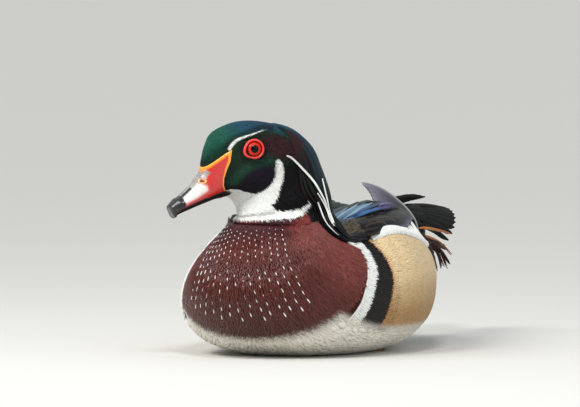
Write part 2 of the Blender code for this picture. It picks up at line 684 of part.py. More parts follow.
def tail_point(a, b, lift=0.0):
    """A point of the spread tail, a from root to tip and b across it from -1 to 1."""
    far = abs(b)
    s = TAIL_ROOT_S + (TAIL_TIP_S + TAIL_ROUND * far**2.2 - TAIL_ROOT_S) * a
    x = b * (TAIL_ROOT_HALF + (TAIL_TIP_HALF - TAIL_ROOT_HALF) * a)
    z = TAIL_ROOT_Z + (TAIL_TIP_Z - TAIL_ROOT_Z) * a + 3.5 * math.sin(math.pi * a)
    fall = (8 + (TAIL_DROP - 8) * a) * far**1.6
    return place(s, x, z - fall + lift)


RECTRIX_COUNT = 12


def tail(material):
    """The tail: twelve long vanes in a roof-shaped fan, joined in a short root."""
    grid = [[(0.42 * i / 4, 0.92 * (2 * j / 8 - 1)) for j in range(9)] for i in range(5)]
    high = [[tail_point(a, b, -0.4) for a, b in row] for row in grid]
    low = [[tail_point(a, b, -4.6 + 5 * a) for a, b in row] for row in grid]
    root = pad("tail", low, high, material)
    vanes = []
    for k in range(RECTRIX_COUNT):
        b = (2 * k + 1) / RECTRIX_COUNT - 1
        drop = -0.45 * (abs(b) * RECTRIX_COUNT / 2 - 0.5) if k != RECTRIX_COUNT // 2 else 0.45
        lifts = (drop - 1.0, drop, drop)
        vanes.append(surface_feather(tail_lift, (0.1, b * 0.9), (1.0, b), (6.0, 0.6, 3.2), lifts, 5))
    return boolean(root, vanes, "UNION")


def tail_lift(a, b, lift):
    """A point lifted square off the spread tail."""
    slope = tail_point(a, min(b + 0.05, 1.2)) - tail_point(a, max(b - 0.05, -1.2))
    along = tail_point(min(a + 0.05, 1), b) - tail_point(a - 0.05, b)
    normal = slope.cross(along).normalized()
    return tail_point(a, b) + normal * (math.copysign(1, normal.z) * lift * MM)


# The coverts under the tail: s, height, half width and half height.
UNDERTAIL = [
    (-90, 50, 15, 8), (-108, 54, 15, 8.5), (-126, 59, 11.5, 6.5), (-142, 64, 7, 3.5), (-152, 67, 2.5, 1.2),
]


def undertail():
    """The coverts under the tail as one tapering form."""
    stations = []
    for s, z, half, high in UNDERTAIL:
        stations.append((place(s, 0, z), Vector((half * MM, 0, 0)), Vector((0, 0, high * MM))))
    return blade("undertail", stations, FEATHER_DARK, 12)


PLUME_ROOT = (-84, 33, 66)


# The side plumes: each one's bend and tip (s, x, z), from a root they share.
PLUMES = [
    ((-110, 32, 67), (-136, 26, 64.5)), ((-106, 34, 61.5), (-129, 31, 57)), ((-104, 35, 60), (-124, 35, 51)),
    ((-100, 36, 58), (-112, 37.5, 47.5)), ((-94, 36.5, 57), (-99, 37.5, 47)),
]


def plumes(name, side, material):
    """The long side plumes, narrow and bent, from one root."""
    s, x, z = PLUME_ROOT
    root = place(s, x * side, z - 2)
    vanes = []
    for k, (bend, tip) in enumerate(PLUMES):
        middle = place(bend[0], bend[1] * side, bend[2])
        end = place(tip[0], tip[1] * side, tip[2])
        points = [root + (root - middle) * 0.25, root, (root + middle) * 0.5, middle]
        points += [(middle + end) * 0.5, end]
        outward = place(s - 1, (x + 3) * side, z) - place(s, x * side, z)
        vanes.append(feather(points, [outward.normalized()] * 6, (2.0, 2.6, 2.4, 2.0, 1.3, 0.3),
                             (0.9, 0.9, 0.8, 0.7, 0.5, 0.25)))
    made = boolean(vanes[0], vanes[1:], "UNION")
    made.name = name
    made.data.materials.clear()
    made.data.materials.append(material)
    return made


# One foot, folded under the rear of the belly: heel, hind toe and the three webbed toes (s, x, z).
HEEL = (-34, 28, 3.6)
ANKLE = (-65, 27, 9)
KNEE = (-52, 28, 26)
TOE_TIPS = [(0, 15, 1.1), (10, 29, 1.1), (2, 43, 1.1)]
HIND_TOE = (-45, 22, 1.2)
WEB_THICK = 0.7


def foot(name, side, grow=0.0, material=None):
    """Lower leg, three toes, their web and the hind toe in one solid, flat on the floor."""
    up = Vector((0, 0, 1))
    out = Vector((side, 0, 0))
    heel, ankle = place(HEEL[0], HEEL[1] * side, HEEL[2]), place(ANKLE[0], ANKLE[1] * side, ANKLE[2])
    knee = place(KNEE[0], KNEE[1] * side, KNEE[2])
    root = Vector((heel.x, heel.y, 2.7 * MM))
    legs = [(heel + Vector((0, -2 * MM, 0)), ankle, (2.4, 2.2), (2.9, 2.6))]
    legs.append((ankle + (ankle - knee) * 0.08, knee, (2.5, 3.4), (2.8, 3.6)))
    legs += [(root, place(s, x * side, z), (2.3, 1.0), (2.6, 1.0)) for s, x, z in TOE_TIPS]
    legs.append((root, place(HIND_TOE[0], HIND_TOE[1] * side, HIND_TOE[2]), (1.5, 0.8), (1.5, 0.8)))
    pieces = [blade("leg", strut(*leg, out, grow)) for leg in legs]
    outline = [HEEL] + [(s, x, z) for s, x, z in TOE_TIPS]
    mid_s, mid_x = np.mean(outline, axis=0)[:2]
    swell = 1 + grow * 0.06
    low = []
    for s, x, _ in outline:
        wide = mid_x + (x - mid_x) * swell
        low.append(place(mid_s + (s - mid_s) * swell, wide * side, 0.4 - grow))
    pieces.append(prism_between(low, up * (2 * WEB_THICK + 2 * grow) * MM))
    made = boolean(pieces[0], pieces[1:], "UNION")
    made.name = name
    if material:
        made.data.materials.clear()
        made.data.materials.append(material)
    return made


def prism_between(low, rise):
    """A closed prism over a flat outline."""
    return loft("web", [low, [p + rise for p in low]])

HEAD, BILL_UPPER, BILL_LOWER = head_and_bill()
NECK = body_part("neck", NECK_T, HEAD_T, NECK_STEPS, FEATHER_WHITE)
TORSO = body_part("torso", 0, NECK_T, TORSO_STEPS, FEATHER_CHESTNUT)
eyes_and_lids()
boolean(crest(FEATHER_GREEN), [skin_cutter(GAP - CREST_SUNK)], "DIFFERENCE")
for BODY in (HEAD, NECK, TORSO):
    boolean(BODY, [crest_plain("crest_room", GAP)], "DIFFERENCE")
for LABEL, SIDE in SIDES.items():
    flank_plain("flank_" + LABEL, SIDE, 0.0, FEATHER_BUFF)
    WING = wing(LABEL, FEATHER_BLUE)
    boolean(WING, [flank_plain("flank_room", SIDE, GAP)], "DIFFERENCE")
    boolean(WING, [crest_plain("crest_room", GAP + LOCK_STAND)], "DIFFERENCE")
    SKIN = boolean(skin_cutter(), [wing_plain("pad_room", SIDE, 0.05)], "DIFFERENCE")
    boolean(WING, [SKIN], "DIFFERENCE")
    boolean(TORSO, [wing_plain("wing_room", SIDE, GAP)], "DIFFERENCE")
    boolean(TORSO, [flank_plain("flank_room", SIDE, GAP)], "DIFFERENCE")
    boolean(plumes("plumes_" + LABEL, SIDE, FEATHER_RUST), [skin_cutter()], "DIFFERENCE")
    foot("foot_" + LABEL, SIDE, 0.0, SKIN_OCHRE)
    boolean(TORSO, [foot("foot_room", SIDE, GAP)], "DIFFERENCE")
boolean(tail(FEATHER_DARK), [skin_cutter()], "DIFFERENCE")
boolean(undertail(), [skin_cutter()], "DIFFERENCE")
for NODE in DUCK.objects:
    tidy(NODE)
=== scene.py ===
"""The looks of a life-size drake wood duck that rests on its belly, its head turned to its right.

Every point is made in the bird's own measures, in millimetres: s forward from the middle of the
body, x to its left, z up from the floor. A turn is an angle round the body or the head from the
line of the back, positive to the left. One lofted form carries skin, bill and coat.
"""

from __future__ import annotations

import logging
import math
from dataclasses import dataclass, field
from enum import Enum
from typing import Callable, Sequence

import bmesh
import bpy
import numpy as np
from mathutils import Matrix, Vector


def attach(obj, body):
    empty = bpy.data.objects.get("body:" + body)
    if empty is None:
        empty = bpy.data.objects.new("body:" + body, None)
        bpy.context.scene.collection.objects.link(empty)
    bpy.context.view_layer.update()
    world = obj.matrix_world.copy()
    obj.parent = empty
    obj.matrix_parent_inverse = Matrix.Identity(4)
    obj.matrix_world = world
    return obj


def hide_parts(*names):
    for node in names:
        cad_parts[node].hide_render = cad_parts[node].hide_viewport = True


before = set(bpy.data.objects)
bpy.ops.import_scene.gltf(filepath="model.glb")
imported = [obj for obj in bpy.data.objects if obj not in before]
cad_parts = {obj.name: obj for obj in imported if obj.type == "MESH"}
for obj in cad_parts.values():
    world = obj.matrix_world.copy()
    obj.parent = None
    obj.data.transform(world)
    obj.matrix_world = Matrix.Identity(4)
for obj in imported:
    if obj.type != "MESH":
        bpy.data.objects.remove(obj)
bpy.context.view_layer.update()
LOG = logging.getLogger("wood_duck")

Array = np.ndarray
Surface = Callable[[Array, Array, float], Array]
Colour = tuple[float, float, float]

MM = 0.001
BODY = "root"
SIDES = {"left": 1, "right": -1}
BAKE_PATCH = 0.003  # width of one feather's patch on the unwrap
STEP = 0.01  # for slopes, as a share of a surface's own measures
REST = (0.2, 1.0)  # height of the lowest feathers over the floor, and where they start to press flat
SHOWING = 0.8  # how far along a small feather the part lies that its neighbours leave bare
TURN_SCALE = 1 / 12  # turns in degrees against stations, on the head


def shade(code: str) -> Colour:
    """A display colour such as "a0522d" in linear light."""
    parts = (int(code[k : k + 2], 16) / 255 for k in (0, 2, 4))
    return tuple(p / 12.92 if p <= 0.04045 else ((p + 0.055) / 1.055) ** 2.4 for p in parts)


class Hue(Enum):
    """The colours of the bird, in linear light, with a painted sheen for the face and painted shade for the
    chin among them.
    """

    CROWN_GREEN = shade("1b5a49")
    CROWN_BLUE = shade("27506a")
    CROWN_VIOLET = shade("3b3f66")
    FACE_GREEN = shade("142e1c")
    # painted sheen: the green glint of light along the cheek
    FACE_PAINTED_SHEEN = shade("1d4a33")
    FACE_BLACK = shade("0d0b0e")
    CHEEK_PURPLE = shade("1a1222")
    TEMPLE = shade("3a1f23")
    WHITE = shade("eceeea")
    # painted shade: a greyer white for the chin near the bill
    CHIN_PAINTED_SHADE = shade("d9dad2")
    BREAST_TOP = shade("50252b")
    BREAST = shade("5c241d")
    BREAST_LOW = shade("4a1a12")
    SHOULDER = shade("7d3732")
    BELLY = shade("e6e1d6")
    BUFF = shade("dcc297")
    BUFF_LOW = shade("b68f5c")
    BAR_BLACK = shade("0f0b0a")
    BACK = shade("151817")
    RUMP = shade("151816")
    REAR_MAROON = shade("2e1517")
    UNDERTAIL = shade("241d18")
    COVERT = shade("4b4438")
    COVERT_BLUE = shade("6d8eae")
    VIOLET = shade("5a5384")
    TERTIAL = shade("121419")
    SILVER = shade("8c8799")
    PRIMARY = shade("24262c")
    TAIL = shade("121311")
    RUST = shade("d98645")
    CREST_GREEN = shade("102419")
    CREST_PURPLE = shade("1f1826")


@dataclass(frozen=True)
class Stance:
    """How the bird's own measures lie in the object's frame."""

    neck_axis: float = 65.0
    head_yaw: float = 43.0
    length_shift: float = 31.0

    def place(self, s: Array, x: Array, z: Array, yaw: Array | float = 0.0) -> Array:
        """Object coordinates in metres of points that are turned by yaw degrees about the neck.

        Args:
            s: distance forward.
            x: distance to the left.
            z: height.
            yaw: turn to the right about the upright neck axis, in degrees.

        Returns:
            Points, with the three coordinates on the last axis.
        """
        turn = np.radians(yaw)
        ahead = s - self.neck_axis
        forward = self.neck_axis + ahead * np.cos(turn) + x * np.sin(turn)
        left = x * np.cos(turn) - ahead * np.sin(turn)
        parts = (left * MM, -(forward + self.length_shift) * MM, z * MM)
        return np.stack(np.broadcast_arrays(*parts), -1)

    def head(self, s: float, x: float, z: float) -> Vector:
        """A point of the head, which has the whole yaw."""
        return Vector(self.place(s, x, z, self.head_yaw))

    def body(self, s: float, x: float, z: float) -> Vector:
        """A point of the body, which has no yaw."""
        return Vector(self.place(s, x, z))


STANCE = Stance()


def spline(table: Array, t: Array) -> Array:
    """Rows of a table at fractional indices, on a smooth curve through the rows.

    Args:
        table: the rows to pass through.
        t: fractional row indices, of any shape.

    Returns:
        The interpolated rows, with the columns on the last axis.
    """
    table, t = np.asarray(table, float), np.asarray(t, float)
    last = len(table) - 1
    i = np.clip(np.floor(t).astype(int), 0, last - 1)
    f = (t - i)[..., None]
    p0, p1, p2, p3 = (table[np.clip(k, 0, last)] for k in (i - 1, i, i + 1, i + 2))
    cubic = 3 * p1 - p0 - 3 * p2 + p3
    return 0.5 * (2 * p1 + (p2 - p0) * f + (2 * p0 - 5 * p1 + 4 * p2 - p3) * f**2 + cubic * f**3)


def unit(vectors: Array) -> Array:
    """The same vectors at a length of one."""
    return vectors / np.maximum(np.linalg.norm(vectors, axis=-1, keepdims=True), 1e-12)


def ease(value: Array, low: float, high: float) -> Array:
    """A smooth step from 0 at low to 1 at high."""
    f = np.clip((value - low) / (high - low), 0, 1)
    return f * f * (3 - 2 * f)


def to_line(points: Sequence[tuple[float, float]], p: Array, q: Array) -> Array:
    """Distance from points (p, q) of a plane to an open line.

    Args:
        points: the corners of the line.
        p: first measures of the points.
        q: second measures of the points.

    Returns:
        The distance of each point to the line.
    """
    here = np.stack([p, q], -1)
    nearest = np.full(here.shape[:-1], np.inf)
    for a, b in zip(np.array(points[:-1], float), np.array(points[1:], float)):
        run = b - a
        f = np.clip((here - a) @ run / (run @ run), 0, 1)
        nearest = np.minimum(nearest, np.linalg.norm(here - a - f[..., None] * run, axis=-1))
    return nearest


def grid(us: Array, vs: Array) -> tuple[Array, Array]:
    """Every pair of two rows of measures, flat."""
    return tuple(m.ravel() for m in np.meshgrid(us, vs, indexing="ij"))


def blend(tint: Array, mask: Array, hue: Colour) -> None:
    """Blends a colour into colour rows where the mask is up to 1."""
    tint += (np.array(hue) - tint) * np.clip(mask, 0, 1)[:, None]


def within(outline: Sequence[tuple[float, float]], p: Array, q: Array, soft: float = 0.0) -> Array:
    """How far points (p, q) are inside an outline, as a share from 0 to 1.

    Args:
        outline: the corners of the closed outline.
        p: first measures of the points.
        q: second measures of the points.
        soft: width of the soft border, half on each side of the outline.

    Returns:
        1 inside, 0 outside and a smooth step across the border.
    """
    inside = np.zeros(np.shape(p), bool)
    closed = list(outline) + [outline[0]]
    for (ap, aq), (bp, bq) in zip(closed, closed[1:]):
        if aq != bq:
            crossing = ap + (q - aq) * (bp - ap) / (bq - aq)
            inside ^= ((aq > q) != (bq > q)) & (p < crossing)
    if soft <= 0:
        return inside.astype(float)
    signed = np.where(inside, 1, -1) * to_line(closed, p, q)
    return ease(signed, -soft / 2, soft / 2)


def marked(outline: Sequence[tuple[float, float]], t: Array, far: Array, soft: float) -> Array:
    """How far points of the form are inside an outline of stations and turns."""
    return within([(p, q * TURN_SCALE) for p, q in outline], t, far * TURN_SCALE, soft)


# Each station of the lofted form: the dorsal and ventral points (s, z), the half width, how far up
# from the ventral point it is widest, the exponents of its upper and lower curves, and its yaw.
STATIONS = {
    "tail_base": (-114, 74.5, -106, 54, 12, 0.50, 2.0, 2.0, 0),
    "rump": (-98, 76, -92, 37, 25, 0.50, 2.1, 2.1, 0),
    "rear": (-77, 79, -74, 21, 43, 0.50, 2.2, 2.2, 0),
    "thigh": (-50, 82, -48, 6.5, 54.5, 0.48, 2.4, 2.4, 0),
    "waist": (-18, 82.5, -18, -1.5, 65.5, 0.46, 2.5, 2.6, 0),
    "middle": (10, 83, 16, -2.5, 70.5, 0.46, 2.5, 2.6, 0),
    "shoulder": (25, 82, 52, -1.5, 69, 0.46, 2.4, 2.5, 0),
    "upper_breast": (31, 81.5, 84, 4, 64, 0.47, 2.3, 2.4, 0),
    "breast": (33, 82.5, 109, 18, 56, 0.48, 2.2, 2.2, 0),
    "fore_breast": (34, 84.5, 123.5, 38, 45, 0.50, 2.1, 2.1, 0),
    "neck_root": (35, 87, 121, 56, 36, 0.50, 2.0, 2.0, 3),
    "breast_top": (36, 89.5, 110, 69, 29.5, 0.50, 2.0, 2.0, 8),
    "neck_base": (37.5, 93, 98, 78.5, 25.5, 0.52, 2.0, 2.0, 16),
    "collar": (39, 98, 91.5, 84, 23, 0.52, 2.0, 2.0, 27),
    "throat": (40.5, 104.5, 91.2, 88.5, 21.5, 0.50, 2.0, 2.0, 36),
    "nape": (42, 113.5, 91.8, 91.5, 20.5, 0.46, 2.0, 2.0, 41),
    "hind_crown": (46, 127, 92.8, 93.5, 20.3, 0.44, 2.1, 2.1, 43),
    "crown": (57, 138.5, 93.8, 95, 20.8, 0.42, 2.2, 2.2, 43),
    "temple": (74, 143.5, 94.8, 96, 20.5, 0.42, 2.3, 2.2, 43),
    "brow": (91, 144, 96, 96.8, 19, 0.42, 2.4, 2.2, 43),
    "forehead": (106, 138.5, 97.5, 97.3, 16, 0.42, 2.3, 2.2, 43),
    "lores": (111.5, 130.5, 99.5, 97.6, 13, 0.44, 2.2, 2.2, 43),
    "front": (114, 121.5, 102.5, 97.6, 10.8, 0.46, 2.2, 2.2, 43),
    "bill_base": (115.4, 114, 107, 97, 9.6, 0.44, 2.2, 2.2, 43),
    "bill_mid": (121.5, 106, 114, 94.6, 8.8, 0.42, 2.3, 2.2, 43),
    "bill_fore": (127.5, 100.4, 122.5, 91.6, 8.6, 0.42, 2.3, 2.2, 43),
    "bill_end": (132.5, 96.6, 129.5, 88.8, 7.6, 0.45, 2.3, 2.2, 43),
    "nail": (136.2, 92.6, 133.8, 86.6, 5.0, 0.50, 2.2, 2.2, 43),
}
STATION_TABLE = np.array(list(STATIONS.values()), float)

# The collar's lower edge, as (turn from the back, station), and the hollow under it: how far below
# the edge and how deep it is, half its breadth, and where it sets in on the left and on the right.
COLLAR_FOOT = np.array([
    (50, 13.5), (59, 13.2), (72, 12.75), (85, 12.36), (99, 11.93), (113, 12.0), (131, 12.28), (158, 12.58),
    (180, 12.66),
])
HOLLOW_BELOW, HOLLOW_DEPTH, HOLLOW_BREADTH = 0.26, 3.0, 0.3
HOLLOW_LEFT, HOLLOW_RIGHT = (1.7, 2.35), (-1.0, -1.5)


def collar_foot(far: Array) -> Array:
    """The station of the collar's lower edge at a turn from the back."""
    return np.interp(far, COLLAR_FOOT[:, 0], COLLAR_FOOT[:, 1])


def form_measures(t: Array, turn: Array, lift: Array | float = 0.0) -> tuple[Array, Array, Array, Array]:
    """The lofted form's own measures at station t and a turn in degrees from the back.

    Args:
        t: fractional station index.
        turn: angle from the dorsal line in degrees, positive to the left.
        lift: how far off the surface, in millimetres.

    Returns:
        s, x, z and the station's yaw.
    """
    t, phi = np.broadcast_arrays(np.asarray(t, float), np.radians(turn))
    dip = collar_foot(np.abs(turn)) - HOLLOW_BELOW
    hollow = np.where(phi < 0, ease(phi, *HOLLOW_RIGHT), ease(phi, *HOLLOW_LEFT))
    lift = lift - HOLLOW_DEPTH * np.exp(-(((t - dip) / HOLLOW_BREADTH) ** 2)) * hollow
    ds, dz, vs, vz, half, widest, upper, lower, yaw = np.moveaxis(spline(STATION_TABLE, t), -1, 0)
    length = np.hypot(ds - vs, dz - vz)
    up_s, up_z = (ds - vs) / length, (dz - vz) / length
    above = np.cos(phi) > 0
    reach = np.where(above, length * (1 - widest) + lift, -(length * widest + lift))
    power = 2 / np.where(above, upper, lower)
    rise = np.abs(np.cos(phi)) ** power * reach + length * widest
    across = np.sign(np.sin(phi)) * np.abs(np.sin(phi)) ** power * (half + lift)
    return vs + up_s * rise, across, np.maximum(vz + up_z * rise, 0.0), yaw


def form_point(t: Array, turn: Array, lift: Array | float = 0.0) -> Array:
    """The lofted form's point at a station and turn, in object coordinates."""
    s, x, z, yaw = form_measures(t, turn, lift)
    return STANCE.place(s, x, z, yaw)


# The crest's course: station, turn of its middle line, half spread and height over the skin.
CREST_COURSE = np.array([
    (17.6, 0, 24, 0.3), (16.8, 0, 46, 1.5), (16, 0, 58, 3.2), (15, 2, 62, 5.2), (14, 8, 60, 6.8),
    (13, 17, 50, 7.4), (12, 28, 40, 7.2), (11, 39, 30, 6.2), (10, 48, 22, 4.8), (9.2, 54, 14, 3.0),
    (8.7, 57, 7, 1.2),
], float)

# The folded wing's face in rows from the shoulder back: s, then (x, z) of its lower edge, its
# fullest line, its ridge and its inner edge over the back.
WING_ROWS = np.array([
    (56, 42, 70.5, 39, 74, 32, 78, 23, 81),
    (44, 48.5, 71.5, 47, 77, 34, 82.5, 16, 82.5),
    (25, 50.5, 74, 50, 80, 33, 85.6, 9, 83.4),
    (0, 50.5, 75, 49, 81.5, 29.5, 88.6, 7, 84.6),
    (-25, 47, 73.8, 44, 81.8, 26, 89.8, 5.5, 85.4),
    (-50, 39.5, 71, 37, 80, 22, 87.5, 4.5, 85.2),
    (-74, 27, 70, 24, 75, 13, 80, 3.2, 80.5),
], float)

# The flank feathers in rows from the bars back: turn of their upper and lower edges, and height.
FLANK_ROWS = np.array([
    (46, 122, 0.6), (45, 122, 1.3), (42, 121, 2.8), (41, 120, 4.0), (43, 119, 3.8), (50, 118, 3.0),
    (64, 116, 1.8),
], float)
FLANK_FRONT = np.array([(40, 8.35), (60, 7.85), (80, 7.5), (100, 7.35), (124, 7.3)])
FLANK_REAR = np.array([(40, 3.4), (60, 3.0), (80, 2.45), (100, 2.3), (124, 2.3)])


def crest_point(along: Array, across: Array, lift: Array | float = 0.0) -> Array:
    """A point of the crest's outer form.

    Args:
        along: from 0 at the crown to 1 at the tip.
        across: from -1 to 1, positive to the left.
        lift: how far off the form, in millimetres.

    Returns:
        Object coordinates.
    """
    along, across = np.broadcast_arrays(np.asarray(along, float), np.asarray(across, float))
    t, turn, spread, height = np.moveaxis(spline(CREST_COURSE, along * (len(CREST_COURSE) - 1)), -1, 0)
    return form_point(t, turn + spread * across, height * (1 - across**4) + 0.6 + lift)


def wing_surface(side: int) -> Surface:
    """The folded wing's face on one side, in measures a from the shoulder back and b up it."""

    def point(a: Array, b: Array, lift: Array | float = 0.0) -> Array:
        """A point of the face, lifted off it."""
        a, b = np.broadcast_arrays(np.asarray(a, float), np.asarray(b, float))
        row = spline(WING_ROWS, a * (len(WING_ROWS) - 1))
        pairs = row[..., 1:].reshape(a.shape + (4, 2))
        x, z = np.moveaxis(edge_spline(pairs, b * 3), -1, 0)
        ahead = edge_spline(pairs, np.minimum(b * 3 + 0.05, 3))
        step = unit(ahead - edge_spline(pairs, np.maximum(b * 3 - 0.05, 0)))
        lift = lift - (9.5 * ease(a, 0.4, 0.08) if side < 0 else 0.0)
        return STANCE.place(row[..., 0], (x + step[..., 1] * lift) * side, z - step[..., 0] * lift)

    return point


def edge_spline(pairs: Array, q: Array) -> Array:
    """Points at fractional indices q along each of many short lines of four points."""
    i = np.clip(np.floor(q).astype(int), 0, 2)
    f = (q - i)[..., None]
    index = [np.clip(k, 0, 3)[..., None, None].repeat(2, -1) for k in (i - 1, i, i + 1, i + 2)]
    p0, p1, p2, p3 = (np.take_along_axis(pairs, k, axis=-2)[..., 0, :] for k in index)
    cubic = 3 * p1 - p0 - 3 * p2 + p3
    return 0.5 * (2 * p1 + (p2 - p0) * f + (2 * p0 - 5 * p1 + 4 * p2 - p3) * f**2 + cubic * f**3)


def flank_surface(side: int) -> Surface:
    """The flank's outer face on one side, in measures a from the bars back and b up it."""

    def point(a: Array, b: Array, lift: Array | float = 0.0) -> Array:
        """A point of the face, lifted off it."""
        row = spline(FLANK_ROWS, a * (len(FLANK_ROWS) - 1))
        turn = row[..., 1] + (row[..., 0] - row[..., 1]) * b
        front = np.interp(turn, FLANK_FRONT[:, 0], FLANK_FRONT[:, 1])
        rear = np.interp(turn, FLANK_REAR[:, 0], FLANK_REAR[:, 1])
        height = 0.4 + (row[..., 2] - 0.4) * np.minimum(np.maximum(b, 0) * 2.2, 1) ** 0.7
        height = height - 1.6 * ease(a, 0.78, 1.0)
        return form_point(front + (rear - front) * a, turn * side, height + lift)

    return point


@dataclass
class Graph:
    """A node tree that is filled node by node."""

    tree: bpy.types.NodeTree

    def node(self, kind: str, inputs: dict | None = None, **settings: object) -> bpy.types.Node:
        """Adds a node.

        Args:
            kind: the node's type.
            inputs: a value or a socket to join for each input, by name or place.
            settings: the node's own options.

        Returns:
            The new node.
        """
        made = self.tree.nodes.new(kind)
        for key, value in settings.items():
            setattr(made, key, value)
        self.feed(made, inputs or {})
        return made

    def feed(self, node: bpy.types.Node, inputs: dict) -> None:
        """Sets a node's inputs: a socket is joined and any other value is stored.

        Args:
            node: the node.
            inputs: a value or a socket for each input, by name or place.
        """
        for key, value in inputs.items():
            if isinstance(value, bpy.types.NodeSocket):
                self.tree.links.new(value, node.inputs[key])
            else:
                node.inputs[key].default_value = value

    def math(self, operation: str, *values: object) -> bpy.types.NodeSocket:
        """The result of a math node."""
        return self.node("ShaderNodeMath", dict(enumerate(values)), operation=operation).outputs[0]

    def vector_math(self, operation: str, *values: object) -> bpy.types.NodeSocket:
        """The result of a vector math node."""
        keys = (0, "Scale") if operation == "SCALE" else range(len(values))
        return self.node("ShaderNodeVectorMath", dict(zip(keys, values)), operation=operation).outputs[0]

    def step(self, value: bpy.types.NodeSocket, low: float, high: float) -> bpy.types.NodeSocket:
        """A smooth step of a value from 0 at low to 1 at high."""
        made = self.node("ShaderNodeMapRange", {0: value, 1: low, 2: high}, interpolation_type="SMOOTHSTEP")
        return made.outputs[0]

    def mix(self, factor: object, first: object, second: object) -> bpy.types.NodeSocket:
        """A blend of two colours."""
        inputs = {0: factor, 6: first, 7: second}
        return self.node("ShaderNodeMix", inputs, data_type="RGBA").outputs[2]

    def attribute(self, name: str) -> bpy.types.Node:
        """A node that reads a named attribute of the mesh."""
        return self.node("ShaderNodeAttribute", attribute_name=name)


def new_material(name: str) -> tuple[bpy.types.Material, Graph, bpy.types.Node]:
    """A material, its node tree and its shader."""
    material = bpy.data.materials.new(name)
    material.use_nodes = True
    return material, Graph(material.node_tree), material.node_tree.nodes["Principled BSDF"]


@dataclass(frozen=True)
class FeatherFinish:
    """How feathers take the light: their gloss, the depth of their barbs, their mottling and the shade
    painted towards their roots.
    """

    name: str
    roughness: float = 0.55
    metallic: float = 0.0
    sheen: float = 0.25
    barb_depth: float = 0.25
    barb_rows: float = 26.0
    barb_slant: float = 1.6
    mottle: float = 0.18
    bars: float = 0.0
    shaft: float = 0.0
    specular: float = 0.22
    # painted shade: how much darker each feather is towards its root, where its neighbours overlap it
    painted_root_shade: float = 0.35

    def make(self) -> bpy.types.Material:
        """A material that reads each feather's own colours and its place along the vane."""
        material, graph, shader = new_material(self.name)
        vane = graph.node(
            "ShaderNodeSeparateXYZ", {0: graph.node("ShaderNodeUVMap", uv_map="Vane").outputs[0]})
        across, along = vane.outputs[0], vane.outputs[1]
        tint = graph.attribute("tint").outputs["Color"]
        tip = graph.attribute("tip").outputs["Color"]
        extent = graph.attribute("tip").outputs["Alpha"]
        off_middle = graph.math("ABSOLUTE", graph.math("SUBTRACT", across, 0.5))
        edge = graph.math("ADD", along, graph.math("MULTIPLY", off_middle, -0.25))
        start = graph.math("SUBTRACT", 1.0, extent)
        tip_share = graph.step(graph.math("SUBTRACT", edge, start), -0.08, 0.08)
        colour = graph.mix(tip_share, tint, tip)
        place = graph.node("ShaderNodeTexCoord").outputs["Object"]
        slant = graph.math("SUBTRACT", along, graph.math("MULTIPLY", off_middle, self.barb_slant))
        wave = graph.math("SINE", graph.math("MULTIPLY", slant, self.barb_rows * math.tau))
        if self.bars:
            wobble = graph.node("ShaderNodeTexNoise", {"Vector": place, "Scale": 900.0, "Detail": 2.0})
            bent = graph.math("ADD", along, graph.math("MULTIPLY", wobble.outputs[0], 0.22))
            line = graph.math("SINE", graph.math("MULTIPLY", bent, self.bars * math.tau))
            dark = graph.math(
                "MULTIPLY", graph.step(line, 0.25, 0.95), graph.attribute("barred").outputs["Fac"])
            colour = graph.mix(dark, colour, (*Hue.BAR_BLACK.value, 1.0))
        if self.shaft:
            quill = graph.math("MULTIPLY", graph.step(off_middle, 0.035, 0.012), self.shaft)
            colour = graph.mix(quill, colour, (0.02, 0.018, 0.016, 1.0))
        noise = graph.node(
            "ShaderNodeTexNoise", {"Vector": place, "Scale": 420.0, "Detail": 3.0, "Roughness": 0.6})
        cloud = graph.math("SUBTRACT", noise.outputs[0], 0.5)
        own = graph.math("SUBTRACT", graph.attribute("shade").outputs["Fac"], 0.5)
        # painted shade: each feather darkens towards its root, where its neighbours lie over it
        root = graph.math("MULTIPLY", graph.step(along, 0.45, 0.05), -self.painted_root_shade)
        light = graph.math(
            "ADD", graph.math("MULTIPLY", graph.math("ADD", cloud, own), self.mottle * 2), root)
        light = graph.math("ADD", light, graph.math("MULTIPLY", wave, 0.05))
        grey = graph.node("ShaderNodeRGBToBW", {0: colour}).outputs[0]
        calm = graph.math("SUBTRACT", 1.0, graph.math("MULTIPLY", grey, 0.65))
        gain = graph.math("ADD", graph.math("MULTIPLY", light, calm), 1.0)
        lit = graph.vector_math("SCALE", colour, gain)
        height = graph.math("MULTIPLY", wave, 0.5)
        bump = graph.node(
            "ShaderNodeBump", {"Strength": self.barb_depth, "Distance": 0.0001, "Height": height})
        rough = graph.math("ADD", graph.math("MULTIPLY", cloud, 0.15), self.roughness)
        if self.metallic:
            glint = graph.math("MULTIPLY", graph.step(grey, 0.3, 0.1), self.metallic)
            graph.feed(shader, {"Metallic": glint})
        graph.feed(shader, {
            "Base Color": lit, "Normal": bump.outputs[0], "Roughness": rough,
            "Specular IOR Level": self.specular,
            "Sheen Weight": self.sheen, "Sheen Roughness": 0.4})
        return material


